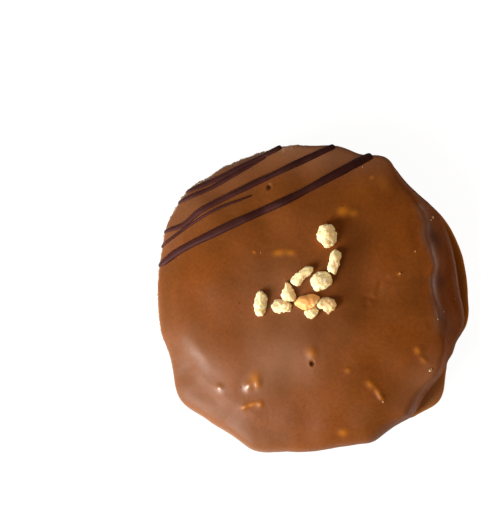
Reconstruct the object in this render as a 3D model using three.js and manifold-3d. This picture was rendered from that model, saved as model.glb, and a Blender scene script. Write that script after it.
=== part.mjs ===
// A round lebkuchen in milk chocolate, lying flat: a low uneven dome with a wavy side and, where the
// chocolate ran down, a thin foot round its base. Dark chocolate is drizzled in lines over one shoulder,
// ten pieces of chopped almond stick in the middle, and nut pieces under the chocolate push small bumps
// into the top. It is one solid food, so all of it is one body.
//
// Millimetres, +Z up. The origin is in the middle of the flat underside. The drizzle lies over the side
// between -X and +Y, and the foot sticks out furthest towards +X.
import * as THREE from "three";
import { mergeVertices } from "three/addons/utils/BufferGeometryUtils.js";
import Module from "manifold-3d";

const wasm = await Module();
wasm.setup();

// ---- Driving dimensions ----------------------------------------------------------------------------

const rim = {
  radius: 40.9, // of the whole outline, before its swells and dents
  crown: 13.0, // height of the middle of the top
  domePower: 2.6, // how late the top falls away towards its shoulder
  domeEdge: 2.5, // how far inside the shoulder the dome hands over to the side
  domeEdgeRise: 1.0, // and how far above the shoulder
  shoulderHeight: 9.6,
  shoulderInset: 4.0, // from the bulge of the side in to the shoulder
  wallShare: 0.76, // where the middle of the wall lies, from the shoulder out to the bulge
  wallHeight: 6.6,
  bulgeHeight: 3.2,
  grooveHeight: 1.7, // the crease between the bulge and the foot
  grooveDepth: 0.4,
  footTop: 1.1,
  footEdge: 0.5,
  footLip: 0.3, // how far the foot's top stays behind its edge
  footUndercut: 0.55, // and its underside
  footTuck: 0.6, // how far the foot lies under the bulge where it doesn't show
};

// Swells and dents, each at an angle round the rim: { at: degrees, by: mm, over: degrees to either side }.
const outlineSwells = [
  { at: 5, by: 0.2, over: 13 },
  { at: 45, by: -2, over: 10 },
  { at: 57.5, by: 0.9, over: 4 },
  { at: 66, by: -1.2, over: 5 },
  { at: 78, by: -2.3, over: 9 },
  { at: 94, by: -2.1, over: 8 },
  { at: 109, by: -0.3, over: 5 },
  { at: 125, by: 0.5, over: 4 },
  { at: 138, by: 1.4, over: 4.5 },
  { at: 149, by: 3.1, over: 18 },
  { at: 150, by: 0.75, over: 5 },
  { at: 163, by: -0.4, over: 4 },
  { at: 180, by: 0.1, over: 8 },
  { at: 201, by: -0.7, over: 5 },
  { at: 217.5, by: 2.7, over: 6.5 },
  { at: 231, by: 0.4, over: 4 },
  { at: 250.5, by: 1.2, over: 5 },
  { at: 261, by: -0.3, over: 4 },
  { at: 279, by: -1.7, over: 13 },
  { at: 294.5, by: 0.6, over: 3 },
  { at: 304, by: -0.7, over: 5 },
  { at: 322, by: 1.7, over: 4.5 },
  { at: 334.5, by: -1.2, over: 4 },
  { at: 344, by: -0.9, over: 3 },
  { at: 351.5, by: 0.5, over: 4 },
];
const footSwells = [
  { at: 6, by: 2.6, over: 12 },
  { at: 23, by: 0.8, over: 7 },
  { at: 143, by: 1.9, over: 26 },
  { at: 180, by: 0.7, over: 10 },
  { at: 322, by: 3.8, over: 5.5 },
];
const insetSwells = [
  { at: 7.3, by: 0.5, over: 1.8 },
  { at: 12, by: -0.4, over: 2 },
  { at: 28, by: -1.8, over: 6 },
  { at: 41, by: -1.9, over: 5 },
  { at: 57, by: -4.4, over: 9 },
  { at: 76, by: -4.1, over: 8 },
  { at: 95, by: -4.6, over: 9 },
  { at: 150, by: 1.6, over: 24 },
  { at: 201, by: -0.4, over: 5 },
  { at: 217.5, by: 1.7, over: 6.5 },
  { at: 238, by: 2.6, over: 32 },
  { at: 250.5, by: 0.8, over: 5 },
  { at: 279, by: -0.6, over: 13 },
  { at: 294.5, by: 0.4, over: 3 },
  { at: 313, by: -2.9, over: 15 },
  { at: 334, by: -2.4, over: 7 },
  { at: 348, by: -1, over: 6 },
  { at: 359, by: 0.9, over: 4 },
];
const wallSwells = [{ at: 2, by: -0.44, over: 24 }]; // of wallShare: the wall is hollow here
const shoulderSwells = [
  { at: 40, by: -0.5, over: 18 },
  { at: 140, by: -1.3, over: 34 },
  { at: 238, by: -0.9, over: 42 },
  { at: 325, by: -0.4, over: 18 },
];

// Lumps and hollows of the top: { x, y, by: mm up, over: mm along turn, across: mm, turn: degrees }.
const lumps = [
  { x: -26, y: -14, by: 0.45, over: 8, across: 3.5, turn: -50 },
  { x: -12, y: -27, by: 0.4, over: 8, across: 5, turn: -20 },
  { x: 28, y: 9, by: 0.5, over: 8, across: 5, turn: 95 },
  { x: 14, y: 5, by: -0.45, over: 9, across: 6, turn: 60 },
  { x: 22, y: -22, by: 0.4, over: 7, across: 5, turn: 40 },
  { x: 2, y: -33, by: -0.4, over: 6, across: 4, turn: 10 },
  { x: 8, y: 24, by: 0.4, over: 9, across: 5, turn: 25 },
];
// Long swells of the top: waves that follow one another round by the golden angle, each shorter and lower.
const swell = { waves: 6, length: 27, height: 0.17, shrink: 0.8, turn: 137.5, phase: 2.1 };

// Nut pieces under the chocolate: { x, y, long, wide, turn, by: mm above the top }.
const coveredNuts = [
  { x: -12.0, y: -21.4, long: 4.4, wide: 3.4, turn: 60, by: 0.8 },
  { x: -21.6, y: -23.2, long: 2.3, wide: 2.1, turn: 0, by: 0.5 },
  { x: -12.5, y: -27.8, long: 4.8, wide: 1.9, turn: 12, by: 0.5 },
  { x: 19.3, y: -23.4, long: 4.6, wide: 1.8, turn: -52, by: 0.45 },
  { x: 30.8, y: -15.1, long: 4.8, wide: 1.8, turn: -62, by: 0.45 },
  { x: 12.0, y: 21.2, long: 3.6, wide: 2.8, turn: 20, by: 0.5 },
  { x: -5.6, y: 11.0, long: 6.2, wide: 2.2, turn: 0, by: 0.4 },
  { x: 3.6, y: -14.8, long: 3.0, wide: 2.4, turn: 90, by: 0.5 },
];
// Burst bubbles in the chocolate: { x, y, across: mm }.
const bubbles = [
  { x: 3.3, y: -16.9, across: 1.3 },
  { x: -8.2, y: 28.4, across: 1.5 },
];

// Chopped almonds: { x, y, long, wide, tall, turn: degrees, taper: how much narrower the +long end is }.
const almonds = [
  { x: 7.7, y: 15.0, long: 6.2, wide: 5.0, tall: 3.8, turn: 100, taper: -0.15 },
  { x: 9.8, y: 8.2, long: 6.5, wide: 3.0, tall: 2.9, turn: 78, taper: -0.2 },
  { x: 1.2, y: 4.7, long: 6.7, wide: 3.0, tall: 2.9, turn: 43, taper: 0.25 },
  { x: 6.0, y: 3.5, long: 5.4, wide: 4.6, tall: 3.2, turn: 28, taper: 0 },
  { x: -2.3, y: 1.1, long: 5.4, wide: 4.0, tall: 3.2, turn: 98, taper: 0.5 },
  { x: -9.5, y: -1.8, long: 6.4, wide: 3.3, tall: 2.9, turn: 86, taper: 0 },
  { x: -4.2, y: -2.6, long: 5.1, wide: 3.6, tall: 2.8, turn: 175, taper: 0 },
  { x: 2.4, y: -1.6, long: 6.6, wide: 4.2, tall: 3.2, turn: 20, taper: -0.3 },
  { x: 3.9, y: -4.8, long: 3.4, wide: 3.1, tall: 2.6, turn: 0, taper: 0 },
  { x: 7.7, y: -2.6, long: 4.9, wide: 4.0, tall: 3.0, turn: -14, taper: 0.2 },
];
const almond = {
  sunk: 0.3, // share of its height that lies in the chocolate
  knobs: 0.07, // height of its knobs, as a share of its size
  boxiness: 0.82, // 1 is an egg, less has flatter sides
};

// Lines of drizzle: their points are [x, y] seen from above, and each end narrows over tips, in mm.
const drizzle = {
  lines: [
    {
      width: 2.15,
      tips: [1.2, 6],
      points: [[21.5, 37.1], [13.4, 32.7], [-0.2, 25.8], [-15.0, 19.9], [-33.0, 12.8], [-38.1, 10.0], [-41.2, 9.0]],
    },
    {
      width: 1.75,
      tips: [1.2, 16],
      points: [[13.0, 39.9], [8.4, 37.9], [-13.1, 29.0], [-20.7, 26.0], [-27.9, 22.5], [-32.7, 19.4], [-40.5, 17.6]],
    },
    {
      width: 0.85,
      tips: [9, 1],
      points: [[-12.5, 26.3], [-20.7, 23.7], [-28.5, 20.3], [-35.8, 16.1], [-41.0, 12.9]],
    },
    {
      width: 1.6,
      tips: [1.2, 3],
      points: [[-2.0, 40.5], [-6.1, 38.5], [-15.5, 34.7], [-23.2, 31.4], [-31.2, 28.8], [-34.5, 27.7]],
    },
    {
      width: 1.4,
      tips: [14, 1],
      points: [[-9.4, 36.4], [-15.3, 33.6], [-22.6, 30.0], [-27.6, 27.9], [-33.5, 26.0], [-37.5, 24.6]],
    },
  ],
  rise: 0.32, // height over the chocolate, as a share of a line's width
  leastRise: 0.4, // but no lower than this
  arcFrom: -28, // a line's section is this arc of an ellipse, from under the chocolate up and over
  arcSides: 4,
  tipShare: 0.45, // the width that is left at an end
  stepLength: 2.4,
  lowestEnd: 5.0, // where a line stops on its way down the side
};

const mesh = {
  roundSegments: 108,
  topRings: 12,
  sideRings: 14, // two to each stretch of the side's curve
  baseRings: 1,
};

// ---- Form of the chocolate ---------------------------------------------------------------------------

const radians = THREE.MathUtils.degToRad;
const bell = (distance, spread) => Math.exp(-0.5 * (distance / spread) ** 2);

// The sum at an angle of a list of swells.
function swellsAt(swells, angle) {
  const degrees = THREE.MathUtils.radToDeg(angle);
  return swells.reduce((sum, { at, by, over }) => {
    const apart = THREE.MathUtils.euclideanModulo(degrees - at + 180, 360) - 180;
    return sum + by * bell(apart, over);
  }, 0);
}

// What the side's section is built from at an angle: the foot reaches past the bulge or lies under it.
function rimAt(angle) {
  const outline = rim.radius + swellsAt(outlineSwells, angle);
  const foot = swellsAt(footSwells, angle) - rim.footTuck;
  const bulge = outline - Math.max(foot, 0);
  const shoulder = bulge - rim.shoulderInset - swellsAt(insetSwells, angle);
  return {
    bulge,
    shoulder,
    foot: outline + Math.min(foot, 0),
    shoulderHeight: rim.shoulderHeight + swellsAt(shoulderSwells, angle),
    wall: THREE.MathUtils.lerp(shoulder, bulge, rim.wallShare + swellsAt(wallSwells, angle)),
  };
}

// How far out the top or the bulge of the side reaches at an angle.
function widestAt(angle) {
  const { bulge, shoulder } = rimAt(angle);
  return Math.max(bulge, shoulder);
}

// Height of the smooth dome at a distance from the middle, towards one angle.
function domeHeight(radius, { shoulder, shoulderHeight }) {
  const edge = shoulderHeight + rim.domeEdgeRise;
  const share = Math.max(radius, 0) / (shoulder - rim.domeEdge);
  return rim.crown - (rim.crown - edge) * share ** rim.domePower;
}

// The side's section at an angle, as a curve through (radius, height) from the dome down to the underside.
function sideSection(at) {
  const domePoint = (inside) => new THREE.Vector2(at.shoulder - inside, domeHeight(at.shoulder - inside, at));
  return new THREE.SplineCurve([
    domePoint(2 * rim.domeEdge),
    domePoint(rim.domeEdge),
    new THREE.Vector2(at.shoulder, at.shoulderHeight),
    new THREE.Vector2(at.wall, rim.wallHeight),
    new THREE.Vector2(at.bulge, rim.bulgeHeight),
    new THREE.Vector2(Math.min(at.bulge, at.foot) - rim.grooveDepth, rim.grooveHeight),
    new THREE.Vector2(at.foot - rim.footLip, rim.footTop),
    new THREE.Vector2(at.foot, rim.footEdge),
    new THREE.Vector2(at.foot - rim.footUndercut, 0),
  ]);
}
const sectionStart = 1 / 8; // the curve's first stretch only gives its start the dome's slope
const bulgeAlong = 4 / 8;

// Lumps, hollows and swells of the top, in mm, at a place seen from above.
function relief(x, y) {
  let height = 0;
  for (const { x: cx, y: cy, by, over, across, turn } of lumps) {
    const [c, s] = [Math.cos(radians(turn)), Math.sin(radians(turn))];
    const along = (x - cx) * c + (y - cy) * s;
    const aside = (y - cy) * c - (x - cx) * s;
    height += by * bell(along, over) * bell(aside, across);
  }
  for (let i = 0; i < swell.waves; i++) {
    const turn = radians(i * swell.turn);
    const length = swell.length * swell.shrink ** i;
    const along = x * Math.cos(turn) + y * Math.sin(turn);
    height += swell.height * swell.shrink ** i * Math.sin((2 * Math.PI * along) / length + i * swell.phase);
  }
  return height;
}

// A point of the smooth section with the relief on it, which fades out down the side.
function placed(radius, height, angle) {
  const [x, y] = [radius * Math.cos(angle), radius * Math.sin(angle)];
  const fade = THREE.MathUtils.smoothstep(height, rim.bulgeHeight, rim.shoulderHeight);
  return new THREE.Vector3(x, y, Math.max(height + fade * relief(x, y), 0));
}

// The chocolate under a place seen from above, down to the bulge of the side: its point and its normal.
function surfaceAt(x, y) {
  const radius = Math.hypot(x, y);
  const angle = Math.atan2(y, x);
  const at = rimAt(angle);
  const outwards = new THREE.Vector3(Math.cos(angle), Math.sin(angle), 0);
  const facing = (run, fall) => outwards.clone().multiplyScalar(-fall).setZ(run).normalize();
  if (radius <= at.shoulder - rim.domeEdge) {
    const [height, next] = [domeHeight(radius, at), domeHeight(radius + 1, at)];
    return { point: placed(radius, height, angle), normal: facing(1, next - height) };
  }
  const section = sideSection(at);
  let [low, high] = [sectionStart, bulgeAlong];
  while (high - low > 1e-6) {
    const middle = (low + high) / 2;
    if (section.getPoint(middle).x < radius) low = middle;
    else high = middle;
  }
  const slope = section.getTangent(low);
  return { point: placed(radius, section.getPoint(low).y, angle), normal: facing(slope.x, slope.y) };
}

// ---- Solids ------------------------------------------------------------------------------------------

function solidOf(geometry) {
  const bare = geometry.index ? geometry.toNonIndexed() : geometry.clone();
  for (const name of Object.keys(bare.attributes)) if (name !== "position") bare.deleteAttribute(name);
  const merged = mergeVertices(bare, 1e-4);
  return new wasm.Manifold(
    new wasm.Mesh({
      numProp: 3,
      vertProperties: merged.attributes.position.array,
      triVerts: new Uint32Array(merged.index.array),
    }),
  );
}

function geometryOf(solid) {
  const { vertProperties, triVerts } = solid.getMesh();
  const geometry = new THREE.BufferGeometry();
  geometry.setAttribute("position", new THREE.BufferAttribute(vertProperties, 3));
  geometry.setIndex(new THREE.BufferAttribute(triVerts, 1));
  geometry.computeVertexNormals();
  return geometry;
}

// The coated biscuit: a turned blank whose sections are then moved to the form at their own angle.
function coatedBiscuit() {
  const { roundSegments, topRings, sideRings, baseRings } = mesh;
  const rows = baseRings + sideRings + topRings + 1;
  const blank = Array.from({ length: rows }, (_, row) => {
    const up = row / (rows - 1);
    return new THREE.Vector2(rim.radius * Math.sin(Math.PI * up), rim.crown * up);
  });
  blank[0].x = 0;
  blank[rows - 1].x = 0;
  const turned = new THREE.LatheGeometry(blank, roundSegments);
  const position = turned.attributes.position;
  for (let i = 0; i <= roundSegments; i++) {
    const angle = ((i % roundSegments) / roundSegments) * 2 * Math.PI;
    const at = rimAt(angle);
    const section = sideSection(at);
    for (let row = 0; row < rows; row++) {
      let point;
      if (row < baseRings) {
        const radius = ((at.foot - rim.footUndercut) * row) / baseRings;
        point = new THREE.Vector3(radius * Math.cos(angle), radius * Math.sin(angle), 0);
      } else if (row < baseRings + sideRings) {
        const down = 1 - (row - baseRings) / sideRings;
        const onSide = section.getPoint(THREE.MathUtils.lerp(sectionStart, 1, down));
        point = placed(onSide.x, onSide.y, angle);
      } else {
        const inwards = (row - baseRings - sideRings) / topRings;
        const radius = (at.shoulder - rim.domeEdge) * (1 - inwards);
        point = placed(radius, domeHeight(radius, at), angle);
      }
      position.setXYZ(i * rows + row, point.x, point.y, point.z);
    }
  }
  return solidOf(turned);
}

// A rounded lump with knobs on it and a narrower end, turned about Z and set down at a place.
function knobbly({ long, wide, tall, turn, taper = 0, knobs = 0, boxiness = 1 }, place) {
  const lump = new THREE.IcosahedronGeometry(1, 1);
  const position = lump.attributes.position;
  const squared = (v) => 0.5 * Math.sign(v) * Math.abs(v) ** boxiness;
  for (let i = 0; i < position.count; i++) {
    const [x, y, z] = [position.getX(i), position.getY(i), position.getZ(i)].map(squared);
    const waves = Math.sin(9 * x + place.x) + Math.sin(11 * y + place.y) + Math.sin(8 * z + 2 * place.x);
    const size = 1 + knobs * waves;
    const narrowing = 1 - 1.6 * taper * x;
    position.setXYZ(i, size * x * long, size * narrowing * y * wide, size * z * tall);
  }
  lump.rotateZ(radians(turn));
  lump.translate(place.x, place.y, place.z);
  return solidOf(lump);
}

function almondPiece(piece) {
  const { point } = surfaceAt(piece.x, piece.y);
  point.z += piece.tall * (0.5 - almond.sunk);
  return knobbly({ ...piece, knobs: almond.knobs, boxiness: almond.boxiness }, point);
}

// Only the upper quarter of a covered nut stands over the top, so its outline there is narrower than it is.
function coveredNut({ x, y, long, wide, turn, by }) {
  const { point } = surfaceAt(x, y);
  const tall = 4 * by;
  point.z += by - tall / 2;
  return knobbly({ long: long * 1.15, wide: wide * 1.15, tall, turn }, point);
}

function bubble({ x, y, across }) {
  const { point } = surfaceAt(x, y);
  return solidOf(new THREE.IcosahedronGeometry(across / 2, 1).translate(point.x, point.y, point.z));
}

// A drizzled line: a low rounded cord, extruded straight and then bent along the top and over the side.
function drizzledLine({ width, tips, points }) {
  const { rise, leastRise, arcFrom, arcSides, tipShare, stepLength, lowestEnd } = drizzle;
  const plan = new THREE.CatmullRomCurve3(points.map(([x, y]) => new THREE.Vector3(x, y, 0)));
  const spots = plan
    .getSpacedPoints(300)
    .filter(({ x, y }) => Math.hypot(x, y) < widestAt(Math.atan2(y, x)))
    .map(({ x, y }) => surfaceAt(x, y))
    .filter(({ point }) => point.z > lowestEnd);
  const route = new THREE.CatmullRomCurve3(spots.map(({ point }) => point));
  const normals = new THREE.CatmullRomCurve3(spots.map(({ normal }) => normal));
  const length = route.getLength();

  const up = Math.max(rise * width, leastRise);
  const arc = Array.from({ length: arcSides + 1 }, (_, i) => {
    const turn = radians(THREE.MathUtils.lerp(arcFrom, 180 - arcFrom, i / arcSides));
    return new THREE.Vector2((width / 2) * Math.cos(turn), up * Math.sin(turn));
  });
  const steps = Math.ceil(length / stepLength);
  const cord = new THREE.ExtrudeGeometry(new THREE.Shape(arc), { depth: length, steps, bevelEnabled: false });
  const position = cord.attributes.position;
  for (let i = 0; i < position.count; i++) {
    const along = THREE.MathUtils.clamp(position.getZ(i) / length, 0, 1);
    const t = route.getUtoTmapping(along);
    const ahead = route.getTangent(t);
    const above = normals.getPoint(t).addScaledVector(ahead, -normals.getPoint(t).dot(ahead)).normalize();
    const aside = new THREE.Vector3().crossVectors(above, ahead);
    const toEnd = Math.min((along * length) / tips[0], ((1 - along) * length) / tips[1], 1);
    const size = THREE.MathUtils.lerp(tipShare, 1, Math.sin((toEnd * Math.PI) / 2));
    const point = route
      .getPoint(t)
      .addScaledVector(aside, size * position.getX(i))
      .addScaledVector(above, size * position.getY(i));
    position.setXYZ(i, point.x, point.y, point.z);
  }
  return solidOf(cord);
}

// The largest body of a joined solid: any scrap that joining leaves loose is dropped.
function largest(solid) {
  return solid.decompose().reduce((best, body) => (body.volume() > best.volume() ? body : best));
}

// ---- The lebkuchen -----------------------------------------------------------------------------------

let whole = coatedBiscuit();
for (const nut of coveredNuts) whole = whole.add(coveredNut(nut));
for (const hole of bubbles) whole = whole.subtract(bubble(hole));
for (const line of drizzle.lines) whole = whole.add(drizzledLine(line));
for (const piece of almonds) whole = whole.add(almondPiece(piece));

const milkChocolate = new THREE.MeshStandardMaterial({ color: 0x8f542e, roughness: 0.38, metalness: 0 });
const lebkuchen = new THREE.Mesh(geometryOf(largest(whole)), milkChocolate);
lebkuchen.name = "lebkuchen";

const part = new THREE.Group();
part.add(lebkuchen);

export default part;
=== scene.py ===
"""A round lebkuchen in milk chocolate: coat, dark drizzle, chopped almonds and crumbs, made round its solid.

The forms are worked out in millimetres in the part's own frame, with +Z up and the origin in the middle of
the flat underside, and each finished mesh is scaled to metres once.
"""

import logging
import math
import random
from dataclasses import dataclass
from enum import Enum

import bmesh
import bpy
import numpy as np
from mathutils import Matrix, Vector, noise
from mathutils.bvhtree import BVHTree


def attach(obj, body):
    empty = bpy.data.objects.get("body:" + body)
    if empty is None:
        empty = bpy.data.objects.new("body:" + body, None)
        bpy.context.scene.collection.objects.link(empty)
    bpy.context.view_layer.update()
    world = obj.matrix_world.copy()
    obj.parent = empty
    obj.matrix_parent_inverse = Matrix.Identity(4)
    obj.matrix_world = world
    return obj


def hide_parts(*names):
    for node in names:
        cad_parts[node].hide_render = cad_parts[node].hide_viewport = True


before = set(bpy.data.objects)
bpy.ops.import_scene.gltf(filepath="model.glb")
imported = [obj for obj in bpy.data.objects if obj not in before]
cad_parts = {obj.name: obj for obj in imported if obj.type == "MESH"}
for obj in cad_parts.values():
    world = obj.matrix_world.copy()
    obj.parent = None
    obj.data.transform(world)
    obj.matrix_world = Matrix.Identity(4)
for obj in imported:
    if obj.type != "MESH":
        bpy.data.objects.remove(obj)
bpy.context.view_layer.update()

log = logging.getLogger("lebkuchen")

MM = 0.001
BODY = "root"
SOLID = "lebkuchen"
CLEAR = 0.1  # metres, from which a ray is sent towards the coat from well outside it
MERGE = 1e-4  # vertices of a blank closer than this are the same one

Bm = bmesh.types.BMesh
Numbers = np.ndarray
Colour = tuple[float, float, float]
Pair = tuple[float, float]
Inputs = dict[str | int, object]


class Slot(Enum):
    """The finishes of the record."""

    MILK = "milk_chocolate"
    DARK = "dark_chocolate"
    ALMOND = "chopped_almond"


class Mark(Enum):
    """What is painted on the vertices, from 0 to 1. TONE goes from -1 to 1 on the coat, and DARK_AND_SHADE
    below 0. On the coat, TONE takes in painted shade and painted light, DARK_AND_SHADE is mostly painted
    shade, PAINTED_SHEEN is painted sheen and FOOT_AND_PAINTED_LIGHT is partly painted light.
    """

    THIN = "thin_coat"
    TONE = "tone"
    CHALK = "chalk"
    DARK_AND_SHADE = "deep"
    FOOT_AND_PAINTED_LIGHT = "foot"
    GLOSS = "gloss"
    PAINTED_SHEEN = "bloom_and_sheen"


# ---- Small sums ---------------------------------------------------------------------------------------

# What spread_noise scatters its slopes over the cells of its grid with.
NOISE_SLOPES = 256
NOISE_PRIMES = np.array([73, 157, 113])
NOISE_SCRAMBLE = 2654435761
NOISE_SHIFT = 7.7
NOISE_GAIN = 1.4


def bell(distance: Numbers, spread: float) -> Numbers:
    """A smooth bump: 1 at no distance, 0.6 at the spread."""
    return np.exp(-0.5 * (distance / spread) ** 2)


def smoothstep(value: Numbers, low: float, high: float) -> Numbers:
    """0 below low, 1 above high and a smooth rise between them."""
    share = np.clip((value - low) / (high - low), 0, 1)
    return share * share * (3 - 2 * share)


def turned(x: Numbers, y: Numbers, degrees: float) -> tuple[Numbers, Numbers]:
    """The distances of a place along and aside of a direction."""
    c, s = math.cos(math.radians(degrees)), math.sin(math.radians(degrees))
    return x * c + y * s, y * c - x * s


def apart_round(degrees: Numbers, at: float) -> Numbers:
    """How far each angle is from another one, the short way round, in degrees."""
    return (degrees - at + 180) % 360 - 180


def spread_noise(points: Numbers, length: float, seed: int, octaves: int = 2) -> Numbers:
    """Soft noise from about -1 to 1 at each point.

    Args:
        points: one row of x, y, z a point, in mm.
        length: the size of the noise's largest waves, in mm.
        seed: a whole number that picks the pattern.
        octaves: how many finer layers it has.

    Returns:
        One value a point.
    """
    corners = np.array([(i, j, k) for i in (0, 1) for j in (0, 1) for k in (0, 1)])
    slopes = np.random.default_rng(seed).uniform(-1, 1, (NOISE_SLOPES, 3))
    total = np.zeros(len(points))
    for octave in range(octaves):
        spot = points * 2**octave / length + NOISE_SHIFT * octave
        cell = np.floor(spot).astype(int)
        inside = spot - cell
        fade = inside**3 * (inside * (inside * 6 - 15) + 10)
        for corner in corners:
            key = (cell + corner) @ NOISE_PRIMES + octave
            slope = slopes[(key * NOISE_SCRAMBLE >> 8) % NOISE_SLOPES]
            share = np.prod(np.where(corner, fade, 1 - fade), axis=1)
            total += share * (slope * (inside - corner)).sum(axis=1) / 2**octave
    return NOISE_GAIN * total


def towards(azimuth: float, elevation: float) -> Vector:
    """The direction at an azimuth, in degrees from +X towards +Y, and an elevation."""
    around, up = math.radians(azimuth), math.radians(elevation)
    return Vector((math.cos(up) * math.cos(around), math.cos(up) * math.sin(around), math.sin(up)))


@dataclass(frozen=True)
class Waves:
    """Soft random waves of a surface: their length and height, in mm, and the seed of their pattern."""

    length: float
    height: float
    seed: int = 0

    def at(self, points: Numbers, seed: int | None = None) -> Numbers:
        """Their height at each point, from their own seed or another one."""
        return self.height * spread_noise(points, self.length, self.seed if seed is None else seed)


# ---- Form of the coat ---------------------------------------------------------------------------------


@dataclass(frozen=True)
class Swell:
    """A swell or dent at an angle round the rim: by mm, fading over degrees to either side."""

    at: float
    by: float
    over: float


def swells_at(swells: tuple[Swell, ...], degrees: Numbers) -> Numbers:
    """The sum of some swells at each angle.

    Args:
        swells: the swells.
        degrees: the angles round the rim.

    Returns:
        One value an angle, in mm or whatever the swells are in.
    """
    total = np.zeros_like(degrees)
    for swell in swells:
        total += swell.by * bell(apart_round(degrees, swell.at), swell.over)
    return total


@dataclass(frozen=True)
class Mound:
    """A lump or hollow of the top: by mm, over mm along its turn and across mm aside of it."""

    x: float
    y: float
    by: float
    over: float
    across: float
    turn: float = 0.0

    def at(self, x: Numbers, y: Numbers) -> Numbers:
        """Its height at each place."""
        along, aside = turned(x - self.x, y - self.y, self.turn)
        return self.by * bell(along, self.over) * bell(aside, self.across)


@dataclass(frozen=True)
class CoveredNut:
    """A nut piece under the chocolate, which stands by mm over the top.

    The chocolate over it is thinner, and glossier, by a share from 0 to 1.
    """

    x: float
    y: float
    long: float
    wide: float
    turn: float
    by: float
    thin: float = 0.0
    gloss: float = 0.0
    falloff: float = 0.9

    def share(self, x: Numbers, y: Numbers) -> Numbers:
        """How much of the nut is under each place: 1 in its middle, about a third at its edge."""
        along, aside = turned(x - self.x, y - self.y, self.turn)
        return np.exp(-self.falloff * ((2 * along / self.long) ** 2 + (2 * aside / self.wide) ** 2))


@dataclass(frozen=True)
class Pit:
    """A burst bubble, and its low rim in shares of its depth and its radius."""

    x: float
    y: float
    across: float
    deep: float
    rim: float = 0.08
    rim_at: float = 1.6
    rim_over: float = 0.4

    def at(self, x: Numbers, y: Numbers) -> Numbers:
        """Its height at each place."""
        apart = np.hypot(x - self.x, y - self.y) / (self.across / 2)
        return self.deep * (self.rim * bell(apart - self.rim_at, self.rim_over) - np.exp(-(apart**4)))


@dataclass(frozen=True)
class Crease:
    """A shallow groove along a smooth line through some (x, y) points, or a roll where deep is below 0."""

    points: tuple[Pair, ...]
    deep: float
    wide: float
    steps: int = 6

    def at(self, x: Numbers, y: Numbers) -> Numbers:
        """Its height at each place.

        Args:
            x: the places along X.
            y: the places along Y.

        Returns:
            One height a place, in mm.
        """
        nearest = np.full_like(x, math.inf)
        path = smooth_path(np.array(self.points), self.steps * len(self.points)).tolist()
        for (ax, ay), (bx, by) in zip(path, path[1:]):
            run = (bx - ax) ** 2 + (by - ay) ** 2
            share = np.clip(((x - ax) * (bx - ax) + (y - ay) * (by - ay)) / run, 0, 1)
            nearest = np.minimum(nearest, np.hypot(x - ax - share * (bx - ax), y - ay - share * (by - ay)))
        return -self.deep * bell(nearest, self.wide / 2)


@dataclass(frozen=True)
class SideMark:
    """A patch of the side, round an angle and a height: by is its share of a paint or mm along the normal."""

    at: float
    over: float
    height: float
    tall: float
    by: float

    def on(self, degrees: Numbers, height: Numbers) -> Numbers:
        """What it adds at each place."""
        around = bell(apart_round(degrees, self.at), self.over)
        return self.by * around * bell(height - self.height, self.tall)


@dataclass(frozen=True)
class Sections:
    """The side's section at each of a ring of angles: one value an angle in every field."""

    bulge: Numbers
    shoulder: Numbers
    foot: Numbers
    shoulder_height: Numbers
    wall: Numbers


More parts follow.
